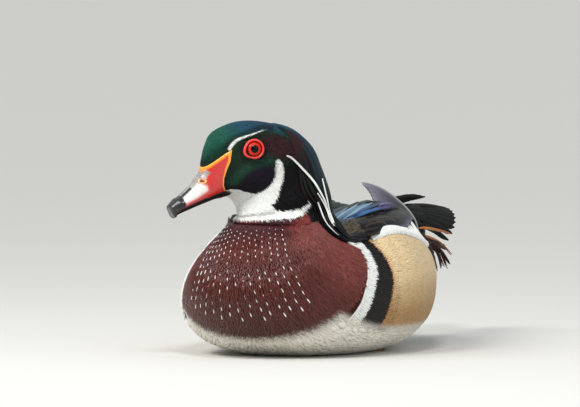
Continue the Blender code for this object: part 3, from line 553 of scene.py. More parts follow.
@dataclass(frozen=True)
class HornFinish:
    """Smooth horn or bare skin, coloured by the mesh's own tint, with fine grain."""

    name: str
    roughness: float = 0.35
    coat: float = 0.3
    grain: float = 900.0
    depth: float = 0.15
    mottle: float = 0.1
    subsurface: float = 0.0
    specular: float = 0.5

    def make(self) -> bpy.types.Material:
        """A material with the mesh's tint, clouded and finely pitted."""
        material, graph, shader = new_material(self.name)
        place = graph.node("ShaderNodeTexCoord").outputs["Object"]
        noise = graph.node("ShaderNodeTexNoise", {"Vector": place, "Scale": self.grain, "Detail": 4.0})
        cloud = graph.math("SUBTRACT", noise.outputs[0], 0.5)
        gain = graph.math("ADD", graph.math("MULTIPLY", cloud, self.mottle * 2), 1.0)
        lit = graph.vector_math("SCALE", graph.attribute("tint").outputs["Color"], gain)
        rough = graph.math("ADD", graph.math("MULTIPLY", cloud, 0.2), self.roughness)
        bump = graph.node(
            "ShaderNodeBump", {"Strength": self.depth, "Distance": 0.0002, "Height": noise.outputs[0]})
        graph.feed(shader, {
            "Base Color": lit, "Roughness": rough, "Normal": bump.outputs[0], "Coat Weight": self.coat,
            "Specular IOR Level": self.specular, "Coat Roughness": 0.15})
        if self.subsurface:
            graph.feed(
                shader, {"Subsurface Weight": self.subsurface, "Subsurface Radius": (0.002, 0.0008, 0.0005)})
        return material


def add_object(name: str, data: bpy.types.ID) -> bpy.types.Object:
    """A new object, linked to the scene."""
    obj = bpy.data.objects.new(name, data)
    bpy.context.scene.collection.objects.link(obj)
    return obj


def applied_mesh(obj: bpy.types.Object) -> bpy.types.Mesh:
    """The mesh that an object's modifiers give."""
    return bpy.data.meshes.new_from_object(obj.evaluated_get(bpy.context.evaluated_depsgraph_get()))


def mesh_object(name: str, points: Array, faces: Sequence[Sequence[int]]) -> bpy.types.Object:
    """A linked object of smooth faces through points.

    Args:
        name: the piece's name.
        points: one row of object coordinates for each corner.
        faces: corner indices of each face.

    Returns:
        The new object.
    """
    mesh = bpy.data.meshes.new(name)
    mesh.from_pydata(
        [tuple(p) for p in np.asarray(points, float)], [], [tuple(int(k) for k in f) for f in faces])
    mesh.shade_smooth()
    return add_object(name, mesh)


def set_attribute(obj: bpy.types.Object, name: str, values: Array, domain: str = "POINT") -> None:
    """Stores numbers, vectors or colours on a mesh.

    Args:
        obj: the mesh's object.
        name: the attribute's name.
        values: one row for each element: one number, two for a map, three for a vector or four for a colour.
        domain: the kind of element.
    """
    values = np.asarray(values, float)
    width = 1 if values.ndim == 1 else values.shape[1]
    kind, field_name = {1: ("FLOAT", "value"), 2: ("FLOAT2", "vector"), 3: ("FLOAT_VECTOR", "vector"),
                        4: ("FLOAT_COLOR", "color")}[width]
    attribute = obj.data.attributes.new(name, kind, domain)
    attribute.data.foreach_set(field_name, values.astype(np.float32).ravel())


def grid_faces(rows: int, columns: int, wrap: bool = False) -> list[tuple[int, int, int, int]]:
    """Faces of a grid of points that is stored row by row, closed across its columns if it wraps."""
    faces = []
    for i in range(rows - 1):
        for j in range(columns if wrap else columns - 1):
            k = (j + 1) % columns
            faces.append((i * columns + j, i * columns + k, (i + 1) * columns + k, (i + 1) * columns + j))
    return faces


def pad(name: str, high: Array, low: Array, rows: int, columns: int) -> bpy.types.Object:
    """A closed pad between two sheets of points.

    Args:
        name: the piece's name.
        high: points of the outer sheet, row by row.
        low: points of the inner sheet.
        rows: how many rows a sheet has.
        columns: how many points a row has.

    Returns:
        The new object.
    """
    count = rows * columns
    top = grid_faces(rows, columns)
    faces = top + [tuple(k + count for k in f[::-1]) for f in top]
    rim = [(0, j) for j in range(columns)] + [(i, columns - 1) for i in range(1, rows)]
    rim += [(rows - 1, j) for j in range(columns - 2, -1, -1)] + [(i, 0) for i in range(rows - 2, 0, -1)]
    for (i, j), (m, n) in zip(rim, rim[1:] + rim[:1]):
        p, q = i * columns + j, m * columns + n
        faces.append((p, q, q + count, p + count))
    return mesh_object(name, np.concatenate([high, low]), faces)


def capped_tube(name: str, points: Array, columns: int, ends: Array | None = None) -> bpy.types.Object:
    """A closed tube through rings of points.

    Args:
        name: the piece's name.
        points: points of the rings, ring by ring.
        columns: how many points a ring has.
        ends: the point that closes each end, or nothing for the ring's middle.

    Returns:
        The new object.
    """
    if ends is None:
        ends = np.stack([points[:columns].mean(0), points[-columns:].mean(0)])
    count, body = len(points), len(points) - columns
    faces = grid_faces(count // columns, columns, True)
    for k in range(columns):
        j = (k + 1) % columns
        faces.append((count, j, k))
        faces.append((count + 1, body + k, body + j))
    return mesh_object(name, np.concatenate([points, ends]), faces)


def outward(obj: bpy.types.Object, merge: bool = True) -> bpy.types.Object:
    """Turns a closed mesh's faces outward."""
    sheet = bmesh.new()
    sheet.from_mesh(obj.data)
    if merge:
        bmesh.ops.remove_doubles(sheet, verts=sheet.verts, dist=1e-7)
    bmesh.ops.recalc_face_normals(sheet, faces=sheet.faces)
    sheet.to_mesh(obj.data)
    sheet.free()
    obj.data.shade_smooth()
    return obj


def tints(hues: Array, extra: Array | float = 1.0) -> Array:
    """Colour rows with a fourth number."""
    return np.concatenate([hues, np.broadcast_to(np.asarray(extra, float).reshape(-1, 1), (len(hues), 1))], 1)


def rest_on_floor(obj: bpy.types.Object) -> None:
    """Presses what would sink into the floor flat on it."""
    mesh = obj.data
    flat = np.empty(len(mesh.vertices) * 3)
    mesh.vertices.foreach_get("co", flat)
    z = flat[2::3] / MM
    flat[2::3] = np.where(z < REST[1],
                          REST[0] + (REST[1] - REST[0]) * np.exp((z - REST[1]) / (REST[1] - REST[0])), z) * MM
    mesh.vertices.foreach_set("co", flat)
    mesh.update()


def finish_piece(obj: bpy.types.Object, material: bpy.types.Material,
                 nodes: Sequence[str] = ()) -> None:
    """Dresses a piece, sets it on the body it rides on and hides the CAD nodes that it stands for.
    """
    rest_on_floor(obj)
    obj.data.materials.clear()
    obj.data.materials.append(material)
    obj.data.polygons.foreach_set("material_index", np.zeros(len(obj.data.polygons), np.int32))
    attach(obj, BODY)
    if nodes:
        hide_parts(*nodes)
    triangles = sum(len(p.vertices) - 2 for p in obj.data.polygons)
    LOG.info("%s: %d triangles", obj.name, triangles)


@dataclass
class Dress:
    """What the feathers of each place look like: one row for each point of a bed."""

    tint: Array
    tip: Array
    extent: Array  # share of the feather's length that the tip colour takes
    reach: Array  # length, as a share of the coat's own
    girth: Array  # breadth, as a share of the coat's own
    crowd: Array  # how closely they stand, from 0 to 1
    barred: Array  # strength of the cross bars

    @classmethod
    def plain(cls, count: int, hue: Colour) -> "Dress":
        """Feathers of one colour at full size."""
        ones = np.ones(count)
        tint = np.tile(hue, (count, 1))
        return cls(tint, tint.copy(), ones * 0.0, ones.copy(), ones.copy(), ones.copy(), ones * 0.0)

    def paint(self, mask: Array, hue: Colour) -> None:
        """Blends a colour into whole feathers where the mask is up to 1."""
        blend(self.tint, mask, hue)
        blend(self.tip, mask, hue)

    def paint_tip(self, mask: Array, hue: Colour, extent: float) -> None:
        """Gives feathers a tip of another colour where the mask is up to 1."""
        blend(self.tip, mask, hue)
        self.extent = np.maximum(self.extent, np.clip(mask, 0, 1) * extent)


# Outlines on the head, as (station, turn from the back), the same on both sides.
WHITE_OF_FACE = [
    (21.6, 131), (20.4, 130.5), (19.2, 134), (17.95, 136.5), (16.9, 132.5), (16.1, 127.5), (15.8, 116),
    (15.9, 106), (16.15, 97), (16.35, 90.5), (16.8, 83.5), (17.1, 76.5), (17.0, 74), (16.7, 74), (16.3, 78.5),
    (15.7, 86.5), (15.05, 97), (14.4, 108), (13.75, 121), (13.25, 120), (12.98, 107), (12.9, 93), (13.08, 78),
    (13.45, 62), (13.78, 51), (13.5, 50.5), (13.2, 59), (12.75, 72), (12.36, 85), (11.93, 99), (12.0, 113),
    (12.28, 131), (12.58, 158), (12.66, 190), (21.6, 190),
]
NAPE_SHADE = [
    (13.9, 50), (13.2, 60), (12.4, 82), (12.0, 88), (11.15, 79), (10.7, 70), (10.5, 60), (10.9, 48),
    (13.0, 44),
]
BAR_TOP = [(8.75, 63), (8.72, 60), (8.3, 54), (7.6, 50), (7.6, 60), (8.2, 61.5)]
SHOULDER_BAR = [
    (8.8, 60), (8.62, 68), (8.44, 76), (8.24, 83), (8.07, 88), (7.96, 92), (7.87, 96), (7.72, 100),
    (7.55, 104), (7.33, 109), (7.1, 115),
]
EYE_STRIPE = [
    (101.9, 128.1), (100.3, 130.6), (98.2, 132.6), (95.6, 134.1), (91.5, 135.5), (87.5, 136.5), (83.5, 137.7),
    (79.0, 138.9), (74, 139.8),
]
# Outlines on the head, as (s, z).
CROWN = [(116, 112), (112, 122), (102, 130.5), (94, 135), (87, 138), (78, 139.2), (69.5, 137.2), (61, 133.2),
         (54, 128), (44, 116), (38, 100), (34, 150), (116, 150)]
TEMPLE = [
    (82, 133.5), (76, 136), (66, 135), (57, 129), (52, 121), (56, 117), (63, 120.5), (70, 121), (79, 125),
    (84, 129),
]
CHEEK_LOW = [(101, 113), (94, 118), (86, 121.5), (76, 122), (73, 112), (72, 100), (104, 98), (104, 106)]
# the line along the cheek where a painted sheen lies
FACE_PAINTED_SHEEN = [(99, 108), (96, 112.5), (91, 117), (85, 119.5), (77, 120.5)]


@dataclass(frozen=True)
class Bill:
    """The bill's outline: where it leaves the face, its mouth line and its coloured fields, as (s, z)."""

    border: tuple = ((101.0, 127.2), (105.0, 124.4), (110.5, 119.6), (116.4, 114.6))
    rear: tuple = ((103.0, 102.2), (104.6, 105.5), (104.9, 109.7), (103.8, 115.4), (102.2, 120.0))
    mouth: tuple = ((132.0, 90.5), (128.0, 92.3), (115.3, 97.3))
    lower_rear: tuple = ((104.0, 93.0), (102.8, 97.6), (99.2, 99.2), (99.4, 101.2))
    far_ahead: float = 150.0

    def above(self) -> list[tuple[float, float]]:
        """The outline of the upper bill."""
        ahead = [(self.far_ahead, 114.6), (self.far_ahead, 75.0), (132.2, 75.0)]
        return [*self.border, *ahead, *self.mouth, *self.rear]

    def below(self) -> list[tuple[float, float]]:
        """The outline of the lower mandible."""
        return [*self.lower_rear, (103.0, 102.2), *self.mouth[::-1], (132.0, 80.0), (104.0, 80.0)]


BILL = Bill()
EYE_CENTRE = (86.6, 13.6, 127.2)


def crest_cover(t: Array, turn: Array) -> Array:
    """1 where the crest lies over the skin, 0 elsewhere."""
    along = np.clip(
        np.interp(-t, -CREST_COURSE[:, 0], np.arange(len(CREST_COURSE))), 0, len(CREST_COURSE) - 1)
    row = spline(CREST_COURSE, along)
    near = np.abs(turn - row[..., 1]) < row[..., 2] * 0.86
    return (near & (t < 16.9) & (t > 9.0)).astype(float)


def wing_cover(s: Array, x: Array, z: Array) -> Array:
    """1 where a folded wing lies over the back, 0 elsewhere."""
    lower = np.interp(s, WING_ROWS[::-1, 0], WING_ROWS[::-1, 2])
    inner = np.interp(s, WING_ROWS[::-1, 0], WING_ROWS[::-1, 7])
    return ((s > -72) & (s < 52) & (np.abs(x) > inner + 1.5) & (z > lower + 4)).astype(float)


def painted_collar_shadow(turn: Array) -> Array:
    """How dark the painted shadow line under the collar is: it fades out at the front and on the right."""
    return ease(np.abs(turn - 86), 78, 56)


def head_dress(t: Array, turn: Array) -> Dress:
    """The colours and feathers of head, throat and collar.

    Args:
        t: stations of the form.
        turn: turns from the back, in degrees.

    Returns:
        One row for each point.
    """
    s, x, z, _ = form_measures(t, turn, 0.0)
    far = np.abs(turn)
    look = Dress.plain(len(t), Hue.FACE_GREEN.value)
    look.paint(within(CHEEK_LOW, s, z, 7.0), Hue.CHEEK_PURPLE.value)
    look.paint(within(CHEEK_LOW, s, z, 14.0) * ease(z, 112, 103) * 0.8, Hue.FACE_BLACK.value)
    # painted sheen: a green glint of light along the cheek's curve
    look.paint(ease(to_line(FACE_PAINTED_SHEEN, s, z), 5.0, 0.5) * 0.75, Hue.FACE_PAINTED_SHEEN.value)
    look.paint(within(TEMPLE, s, z, 8.0), Hue.TEMPLE.value)
    neck = np.maximum(ease(s, 74, 70) * ease(z, 121, 115), ease(z, 102, 97))
    look.paint(neck, Hue.FACE_BLACK.value)
    crown = within(CROWN, s, z, 2.4)
    look.paint(crown, Hue.CROWN_GREEN.value)
    look.paint(crown * ease(z, 132, 141) * ease(s, 108, 88) * 0.85, Hue.CROWN_BLUE.value)
    look.paint(crown * ease(s, 74, 52) * 0.9 * ease(np.abs(x), 16, 8), Hue.CROWN_BLUE.value)
    look.paint(crown * ease(s, 80, 60) * ease(np.abs(x), 8, 16) * 0.9, Hue.CREST_GREEN.value)
    look.paint(crown * ease(s, 92, 70) * ease(np.abs(x), 12, 4) * 0.7, Hue.CROWN_VIOLET.value)
    look.paint(crown * ease(s, 50, 42), Hue.CREST_GREEN.value)
    rim = to_line([*BILL.border, (117.5, 113.6)], s, z)
    look.paint(crown * ease(rim, 9.0, 1.0) * 0.9, Hue.FACE_BLACK.value)
    brow = to_line(EYE_STRIPE, s, z)
    look.paint(crown * ease(brow, 5.0, 1.5) * ease(np.abs(x), 6, 10) * 0.7, Hue.FACE_BLACK.value)
    eye = np.hypot(s - EYE_CENTRE[0], z - EYE_CENTRE[2])
    look.paint((eye < 13) * ease(eye, 12, 7.5) * ease(np.abs(x), 8, 12) * 0.7, Hue.FACE_BLACK.value)
    width = np.interp(s, [72, 80, 88, 97, 103], [0.0, 0.1, 0.32, 0.72, 0.75])
    look.paint(ease(brow, width + 0.3, width - 0.15) * ease(s, 74, 84) * (far < 80), Hue.WHITE.value)
    white, border = (marked(WHITE_OF_FACE, t, far, soft) for soft in (0.1, 0.5))
    look.paint(white, Hue.WHITE.value)
    # painted shade: the white greys towards the bill under the chin
    look.paint(white * ease(s, 84, 100) * 0.4, Hue.CHIN_PAINTED_SHADE.value)
    foot = collar_foot(far)
    under = ease(t, foot + 0.02, foot - 0.06)
    look.paint(under, Hue.SHOULDER.value)
    # painted shadow: a thin dark line under the collar's edge
    look.paint(under * painted_collar_shadow(turn), Hue.FACE_BLACK.value)
    below = ease(t, foot - 0.09, foot - 0.15)
    look.paint(below, Hue.BREAST_TOP.value)
    look.paint(below * ease(far, 128, 98), Hue.SHOULDER.value)
    look.paint(marked(NAPE_SHADE, t, far, 0.12) * (1 - white), Hue.FACE_BLACK.value)
    size = 0.55 + 0.45 * ease(s, 100, 80)
    grow = np.where(t < 14.5, 1.35, 1.0) * np.where(z < 104, 1.15, 1.0)
    look.reach *= size * grow * (1 - 1.6 * border * (1 - border))
    look.girth *= (0.75 + 0.25 * ease(s, 100, 80)) * np.where(t < 14.5, 1.2, 1.0)
    bare = within(BILL.above(), s, z) + within(BILL.below(), s, z)
    eye_round = np.hypot((s - EYE_CENTRE[0]) * 0.97, z - EYE_CENTRE[2]) < 6.1
    look.crowd *= (bare < 0.5) & ~(eye_round & (np.abs(x) > 8)) & (t < 22.95)
    look.crowd *= np.where(crest_cover(t, turn) > 0, 0.12, 1.0)
    return look


def breast_dress(t: Array, turn: Array) -> Dress:
    """The colours and feathers of breast and shoulders, up to the collar."""
    s, x, z, _ = form_measures(t, turn, 0.0)
    far = np.abs(turn)
    look = Dress.plain(len(t), Hue.BREAST.value)
    look.paint(ease(z, 66, 82), Hue.BREAST_TOP.value)
    look.paint(ease(z, 36, 14), Hue.BREAST_LOW.value)
    look.paint(ease(far, 120, 90) * ease(z, 30, 50) * 0.8, Hue.SHOULDER.value)
    foot = collar_foot(far)
    look.paint(ease(far, 128, 98) * ease(t, 9.5, 10.5), Hue.SHOULDER.value)
    # painted shadow: the same dark line under the collar, on the breast
    look.paint(ease(t, foot - 0.12, foot - 0.04) * painted_collar_shadow(turn), Hue.FACE_BLACK.value)
    belly = np.maximum(ease(z, 13, 7) * ease(t, 8.9, 8.1), ease(t, 7.8, 7.5) * ease(far, 114, 120))
    look.paint(belly, Hue.BELLY.value)
    look.paint(ease(far, 56, 46) * ease(t, 11.5, 10), Hue.BACK.value)
    look.paint(marked(NAPE_SHADE, t, far, 0.12), Hue.FACE_BLACK.value)
    look.paint(marked(BAR_TOP, t, far, 0.1), Hue.WHITE.value)
    between = SHOULDER_BAR + [(6.9, 124), (6.9, 50), (8.6, 50)]
    look.paint(marked(between, t, far, 0.1) * (turn < 0), Hue.BAR_BLACK.value)
    look.reach *= 0.55 + 0.45 * ease(z, 84, 60)
    look.girth *= 0.6 + 0.4 * ease(z, 84, 60)
    cover = np.maximum(wing_cover(s, x, z), crest_cover(t, turn))
    front = np.interp(far, FLANK_FRONT[:, 0], FLANK_FRONT[:, 1])
    cover = np.maximum(cover, ((t < front + 0.45) & (far > 44) & (far < 122)).astype(float))
    look.crowd *= np.where(cover > 0, 0.0, 1.0) * (t < foot - 0.02)
    return look


def trunk_dress(t: Array, turn: Array) -> Dress:
    """The colours and feathers of back, rump, rear and belly."""
    s, x, z, _ = form_measures(t, turn, 0.0)
    far = np.abs(turn)
    look = Dress.plain(len(t), Hue.BACK.value)
    look.paint(ease(far, 112, 122), Hue.BELLY.value)
    look.paint(ease(t, 2.6, 2.1), Hue.RUMP.value)
    look.paint(ease(t, 2.75, 2.35) * ease(far, 40, 60) * ease(far, 122, 108), Hue.REAR_MAROON.value)
    look.paint(ease(t, 2.2, 1.4) * ease(far, 100, 118), Hue.UNDERTAIL.value)
    front = np.interp(far, FLANK_FRONT[:, 0], FLANK_FRONT[:, 1])
    rear = np.interp(far, FLANK_REAR[:, 0], FLANK_REAR[:, 1])
    side = (t < front - 0.1) & (t > rear + 0.35) & (far > 47) & (far < 117)
    fore = (t > 6.9) & (far > 40) & (far < 123)
    cover = np.maximum(wing_cover(s, x, z), (side | fore).astype(float))
    look.crowd *= 1.0 - cover
    return look


def far_flank_dress(a: Array, b: Array) -> Dress:
    """The right flank's colours: its white edging widens forward."""
    look = flank_dress(a, b)
    look.paint(ease(a, 0.14, 0.12), Hue.BAR_BLACK.value)
    edge = np.interp(a, [0.26, 0.45, 0.62], [0.70, 0.84, 0.97])
    top = ease(b, edge, edge + 0.03) * ease(a, 0.66, 0.6)
    look.paint(top, Hue.WHITE.value)
    look.barred *= 1 - top
    return look


def flank_dress(a: Array, b: Array) -> Dress:
    """The colours and feathers of the flank: its white and black bars, then fine-barred buff."""
    look = Dress.plain(len(a), Hue.BUFF.value)
    look.paint(ease(b, 0.55, 0.25), Hue.BUFF_LOW.value)
    look.barred += 0.12 + 0.3 * ease(b, 0.6, 0.3)
    white_end = np.interp(b, [0.3, 0.46, 0.67, 1.0], [0.07, 0.08, 0.108, 0.11])
    black_end = np.interp(b, [0.3, 0.48, 0.74, 1.0], [0.22, 0.238, 0.258, 0.26])
    bar = ease(a, black_end + 0.006, black_end - 0.006)
    look.paint(bar, Hue.BAR_BLACK.value)
    white = ease(a, white_end + 0.008, white_end - 0.002)
    look.paint(white, Hue.WHITE.value)
    look.barred *= 1 - np.maximum(bar, white)
    look.paint(ease(a, 0.955, 0.985), Hue.WHITE.value)
    look.paint(ease(b, 0.955, 0.985) * ease(a, 0.3, 0.36), Hue.WHITE.value)
    look.paint(ease(b, 0.16, 0.04), Hue.BELLY.value)
    look.reach *= np.where(a < 0.27, 0.5, 0.9)
    look.girth *= np.where(a < 0.27, 0.55, 1.0)
    look.paint(ease(np.abs(a - black_end - 0.008), 0.01, 0.002) * 0.6, Hue.RUST.value)
    return look


@dataclass
class PlumageMaker:
    """Grows feathers over beds of points through one Geometry Nodes tree."""

    tree: bpy.types.NodeTree = field(init=False)
    sockets: dict[str, str] = field(default_factory=dict)
    feathers: dict[str, bpy.types.Object] = field(default_factory=dict)

    INPUTS = (
        ("Feather", "NodeSocketObject", None), ("Finish", "NodeSocketMaterial", None),
        ("Spacing", "NodeSocketFloat", 0.001), ("Length", "NodeSocketFloat", 0.004),
        ("Breadth", "NodeSocketFloat", 0.002), ("Stand", "NodeSocketFloat", 0.12),
        ("Ruffle", "NodeSocketFloat", 0.08), ("Patch", "NodeSocketFloat", BAKE_PATCH),
        ("Seed", "NodeSocketInt", 1),
    )

    def __post_init__(self) -> None:
        """Builds the tree and the two feather shapes."""
        self.tree = bpy.data.node_groups.new("plumage", "GeometryNodeTree")
        face = self.tree.interface
        face.new_socket("Bed", in_out="INPUT", socket_type="NodeSocketGeometry")
        for name, kind, value in self.INPUTS:
            socket = face.new_socket(name, in_out="INPUT", socket_type=kind)
            self.sockets[name] = socket.identifier
            if value is not None:
                socket.default_value = value
        face.new_socket("Coat", in_out="OUTPUT", socket_type="NodeSocketGeometry")
        self.fill(Graph(self.tree))
        self.feathers["leaf"] = self.template(
            "leaf", (0.0, 0.22, 0.5, 0.78, 0.93), (0.25, 0.8, 1.0, 0.82, 0.45))
        self.feathers["hair"] = self.template("hair", (0.0, 0.35, 0.75), (0.5, 1.0, 0.7))

    def template(self, name: str, places: Sequence[float], widths: Sequence[float]) -> bpy.types.Object:
        """A small closed feather of unit length and breadth along +Y, ridged above and curved down.

        Args:
            name: the shape's name.
            places: where its cross sections lie.
            widths: their widths.

        Returns:
            A hidden object.
        """
        points, maps = [(0.0, -0.04, -0.02)], [(0.5, 0.0)]
        for y, w in zip(places, widths):
            bow = 0.10 * math.sin(math.pi * y) - 0.04 * y
            for x, rise in ((-0.5, -0.03), (0.0, 0.12), (0.5, -0.03)):
                points.append((x * w, y, bow * 0.5 + rise * w))
                maps.append((0.5 + x * 0.96, max(y, 0.02)))
        points.append((0.0, 1.0, -0.03))
        maps.append((0.5, 1.0))
        last = len(points) - 1
        faces = [(0, 2, 1), (0, 3, 2), (0, 1, 3)]
        for k in range(len(places) - 1):
            here, there = 1 + 3 * k, 4 + 3 * k
            for i, j in ((0, 1), (1, 2), (2, 0)):
                faces.append((here + i, here + j, there + j, there + i))
        end = last - 3
        faces += [(end, end + 1, last), (end + 1, end + 2, last), (end + 2, end, last)]
        obj = outward(mesh_object("feather_" + name, points, faces))
        maps = np.array(maps)
        corners = np.array([loop.vertex_index for loop in obj.data.loops])
        set_attribute(obj, "Vane", maps[corners], "CORNER")
        obj.hide_render = True
        bpy.context.scene.collection.objects.unlink(obj)
        return obj

    def fill(self, g: Graph) -> None:
        """Lays the tree's nodes: scatter, turn, size, realize, map and material."""
        given = g.node("NodeGroupInput").outputs

        def named(name: str, kind: str = "FLOAT") -> bpy.types.NodeSocket:
            """A named attribute's socket."""
            made = g.node("GeometryNodeInputNamedAttribute", {"Name": name}, data_type=kind)
            return next(o for o in made.outputs if o.enabled and o.name == "Attribute")

        def chance(low: object, high: object, seed: int) -> bpy.types.NodeSocket:
            """A random number for each feather."""
            made = g.node("FunctionNodeRandomValue", {2: low, 3: high, 8: seed}, data_type="FLOAT")
            return made.outputs[1]

        scatter = g.node("GeometryNodeDistributePointsOnFaces", {
            "Mesh": given["Bed"], "Distance Min": given["Spacing"], "Density Max": 9.0e6,
            "Density Factor": named("crowd"), "Seed": given["Seed"]}, distribute_method="POISSON")
        lie, rise = named("lie", "FLOAT_VECTOR"), named("rise", "FLOAT_VECTOR")
        across = g.vector_math("CROSS_PRODUCT", lie, rise)
        low = g.math("MULTIPLY", given["Ruffle"], -1.0)
        sway = g.vector_math("SCALE", across, chance(low, given["Ruffle"], 11))
        half = g.math("MULTIPLY", given["Ruffle"], 0.25)
        tilt = g.math("ADD", given["Stand"], chance(g.math("MULTIPLY", half, -1.0), half, 12))
        heading = g.vector_math("ADD", g.vector_math("ADD", lie, sway), g.vector_math("SCALE", rise, tilt))
        turn = g.node("FunctionNodeAxesToRotation", {"Primary Axis": heading, "Secondary Axis": rise},
                      primary_axis="Y", secondary_axis="Z").outputs[0]
        length = g.math(
            "MULTIPLY", g.math("MULTIPLY", given["Length"], named("reach")), chance(0.85, 1.15, 13))
        breadth = g.math(
            "MULTIPLY", g.math("MULTIPLY", given["Breadth"], named("girth")), chance(0.88, 1.12, 14))
        size = g.node("ShaderNodeCombineXYZ", {0: breadth, 1: length, 2: breadth}).outputs[0]
        shape = g.node("GeometryNodeObjectInfo", {"Object": given["Feather"]}).outputs["Geometry"]
        grown = g.node("GeometryNodeInstanceOnPoints", {
            "Points": scatter.outputs["Points"], "Instance": shape, "Rotation": turn, "Scale": size})
        marked = g.node("GeometryNodeStoreNamedAttribute", {
            "Geometry": grown.outputs[0], "Name": "shade", "Value": chance(0.0, 1.0, 15)},
            data_type="FLOAT", domain="INSTANCE")
        real = g.node("GeometryNodeRealizeInstances", {"Geometry": marked.outputs[0]})
        spot = g.vector_math("SCALE",
                             g.vector_math("SUBTRACT", named("Vane", "FLOAT_VECTOR"), (0.5, 0.5, 0.0)),
                             given["Patch"])
        mapped = g.node("GeometryNodeStoreNamedAttribute", {
            "Geometry": real.outputs[0], "Name": "OFBake", "Value": g.vector_math(
                "ADD", named("unwrap", "FLOAT_VECTOR"), spot)},
            data_type="FLOAT2", domain="CORNER")
        dressed = g.node(
            "GeometryNodeSetMaterial", {"Geometry": mapped.outputs[0], "Material": given["Finish"]})
        g.node("NodeGroupOutput", {0: dressed.outputs[0]})

    def grow(self, bed: bpy.types.Object, coat: "Coat", material: bpy.types.Material) -> bpy.types.Object:
        """Grows a coat over its bed.

        Args:
            bed: a mesh with the lie, rise, sizes, colours and unwrap of its feathers.
            coat: the feathers' sizes.
            material: their finish.

        Returns:
            One plain mesh of all the feathers; the bed is removed.
        """
        modifier = bed.modifiers.new("plumage", "NODES")
        modifier.node_group = self.tree
        values = {"Feather": self.feathers[coat.shape], "Finish": material, "Spacing": coat.spacing * MM,
                  "Length": coat.length * MM, "Breadth": coat.breadth * MM, "Stand": coat.stand,
                  "Ruffle": coat.ruffle, "Patch": BAKE_PATCH, "Seed": coat.seed}
        for name, value in values.items():
            modifier[self.sockets[name]] = value
        mesh = applied_mesh(bed)
        mesh.name = coat.name
        bpy.data.objects.remove(bed)
        for spare in ("lie", "rise", "reach", "girth", "crowd", "unwrap"):
            if spare in mesh.attributes:
                mesh.attributes.remove(mesh.attributes[spare])
        return add_object(coat.name, mesh)


@dataclass(frozen=True)
class Coat:
    """One stretch of plumage: where it grows and the size of its feathers, in millimetres."""

    name: str
    surface: Surface
    u: tuple[float, float, int]
    v: tuple[float, float, int]
    dress: Callable[[Array, Array], Dress]
    spacing: float
    length: float
    breadth: float
    flow: tuple[float, float] = (-1.0, 0.0)
    stand: float = 0.12
    ruffle: float = 0.10
    sunk: float = -0.7
    shape: str = "leaf"
    seed: int = 1
    unwrap: tuple[float, float, float, float] = (0.0, 0.0, 1.0, 1.0)

    def bed(self) -> bpy.types.Object:
        """The sheet that the feathers grow from, with all that they need stored on it.

        Returns:
            An object that is only used while the coat is made.
        """
        u, v = grid(np.linspace(*self.u), np.linspace(*self.v))
        span_u, span_v = (self.u[1] - self.u[0]) * STEP, (self.v[1] - self.v[0]) * STEP
        point = self.surface(u, v, self.sunk)
        along = self.surface(u + span_u, v, self.sunk) - self.surface(u - span_u, v, self.sunk)
        aside = self.surface(u, v + span_v, self.sunk) - self.surface(u, v - span_v, self.sunk)
        rise = unit(np.cross(along, aside))
        off = self.surface(u, v, self.sunk + 1.0) - point
        rise *= np.sign((rise * off).sum(-1, keepdims=True))
        lie = unit(along) * self.flow[0] + unit(aside) * self.flow[1]
        lie = unit(lie - rise * (lie * rise).sum(-1, keepdims=True))
        obj = mesh_object("bed_" + self.name, point, grid_faces(self.u[2], self.v[2]))
        look = self.dress(u, v)
        seen = self.length * look.reach * SHOWING * MM
        per_u = np.linalg.norm(along, axis=-1) / (2 * span_u)
        per_v = np.linalg.norm(aside, axis=-1) / (2 * span_v)
        shown = self.dress(np.clip(u + self.flow[0] * seen / np.maximum(per_u, seen), *self.u[:2]),
                           v + self.flow[1] * seen / np.maximum(per_v, seen))
        low_u, low_v, wide_u, wide_v = self.unwrap
        share_u = (u - self.u[0]) / (self.u[1] - self.u[0])
        share_v = (v - self.v[0]) / (self.v[1] - self.v[0])
        set_attribute(
            obj, "unwrap", np.stack([low_u + wide_u * share_u, low_v + wide_v * share_v, u * 0], -1))
        set_attribute(obj, "lie", lie)
        set_attribute(obj, "rise", rise)
        set_attribute(obj, "tint", tints(shown.tint))
        set_attribute(obj, "tip", tints(shown.tip, shown.extent))
        set_attribute(obj, "barred", shown.barred)
        for name in ("reach", "girth", "crowd"):
            set_attribute(obj, name, getattr(look, name))
        return obj


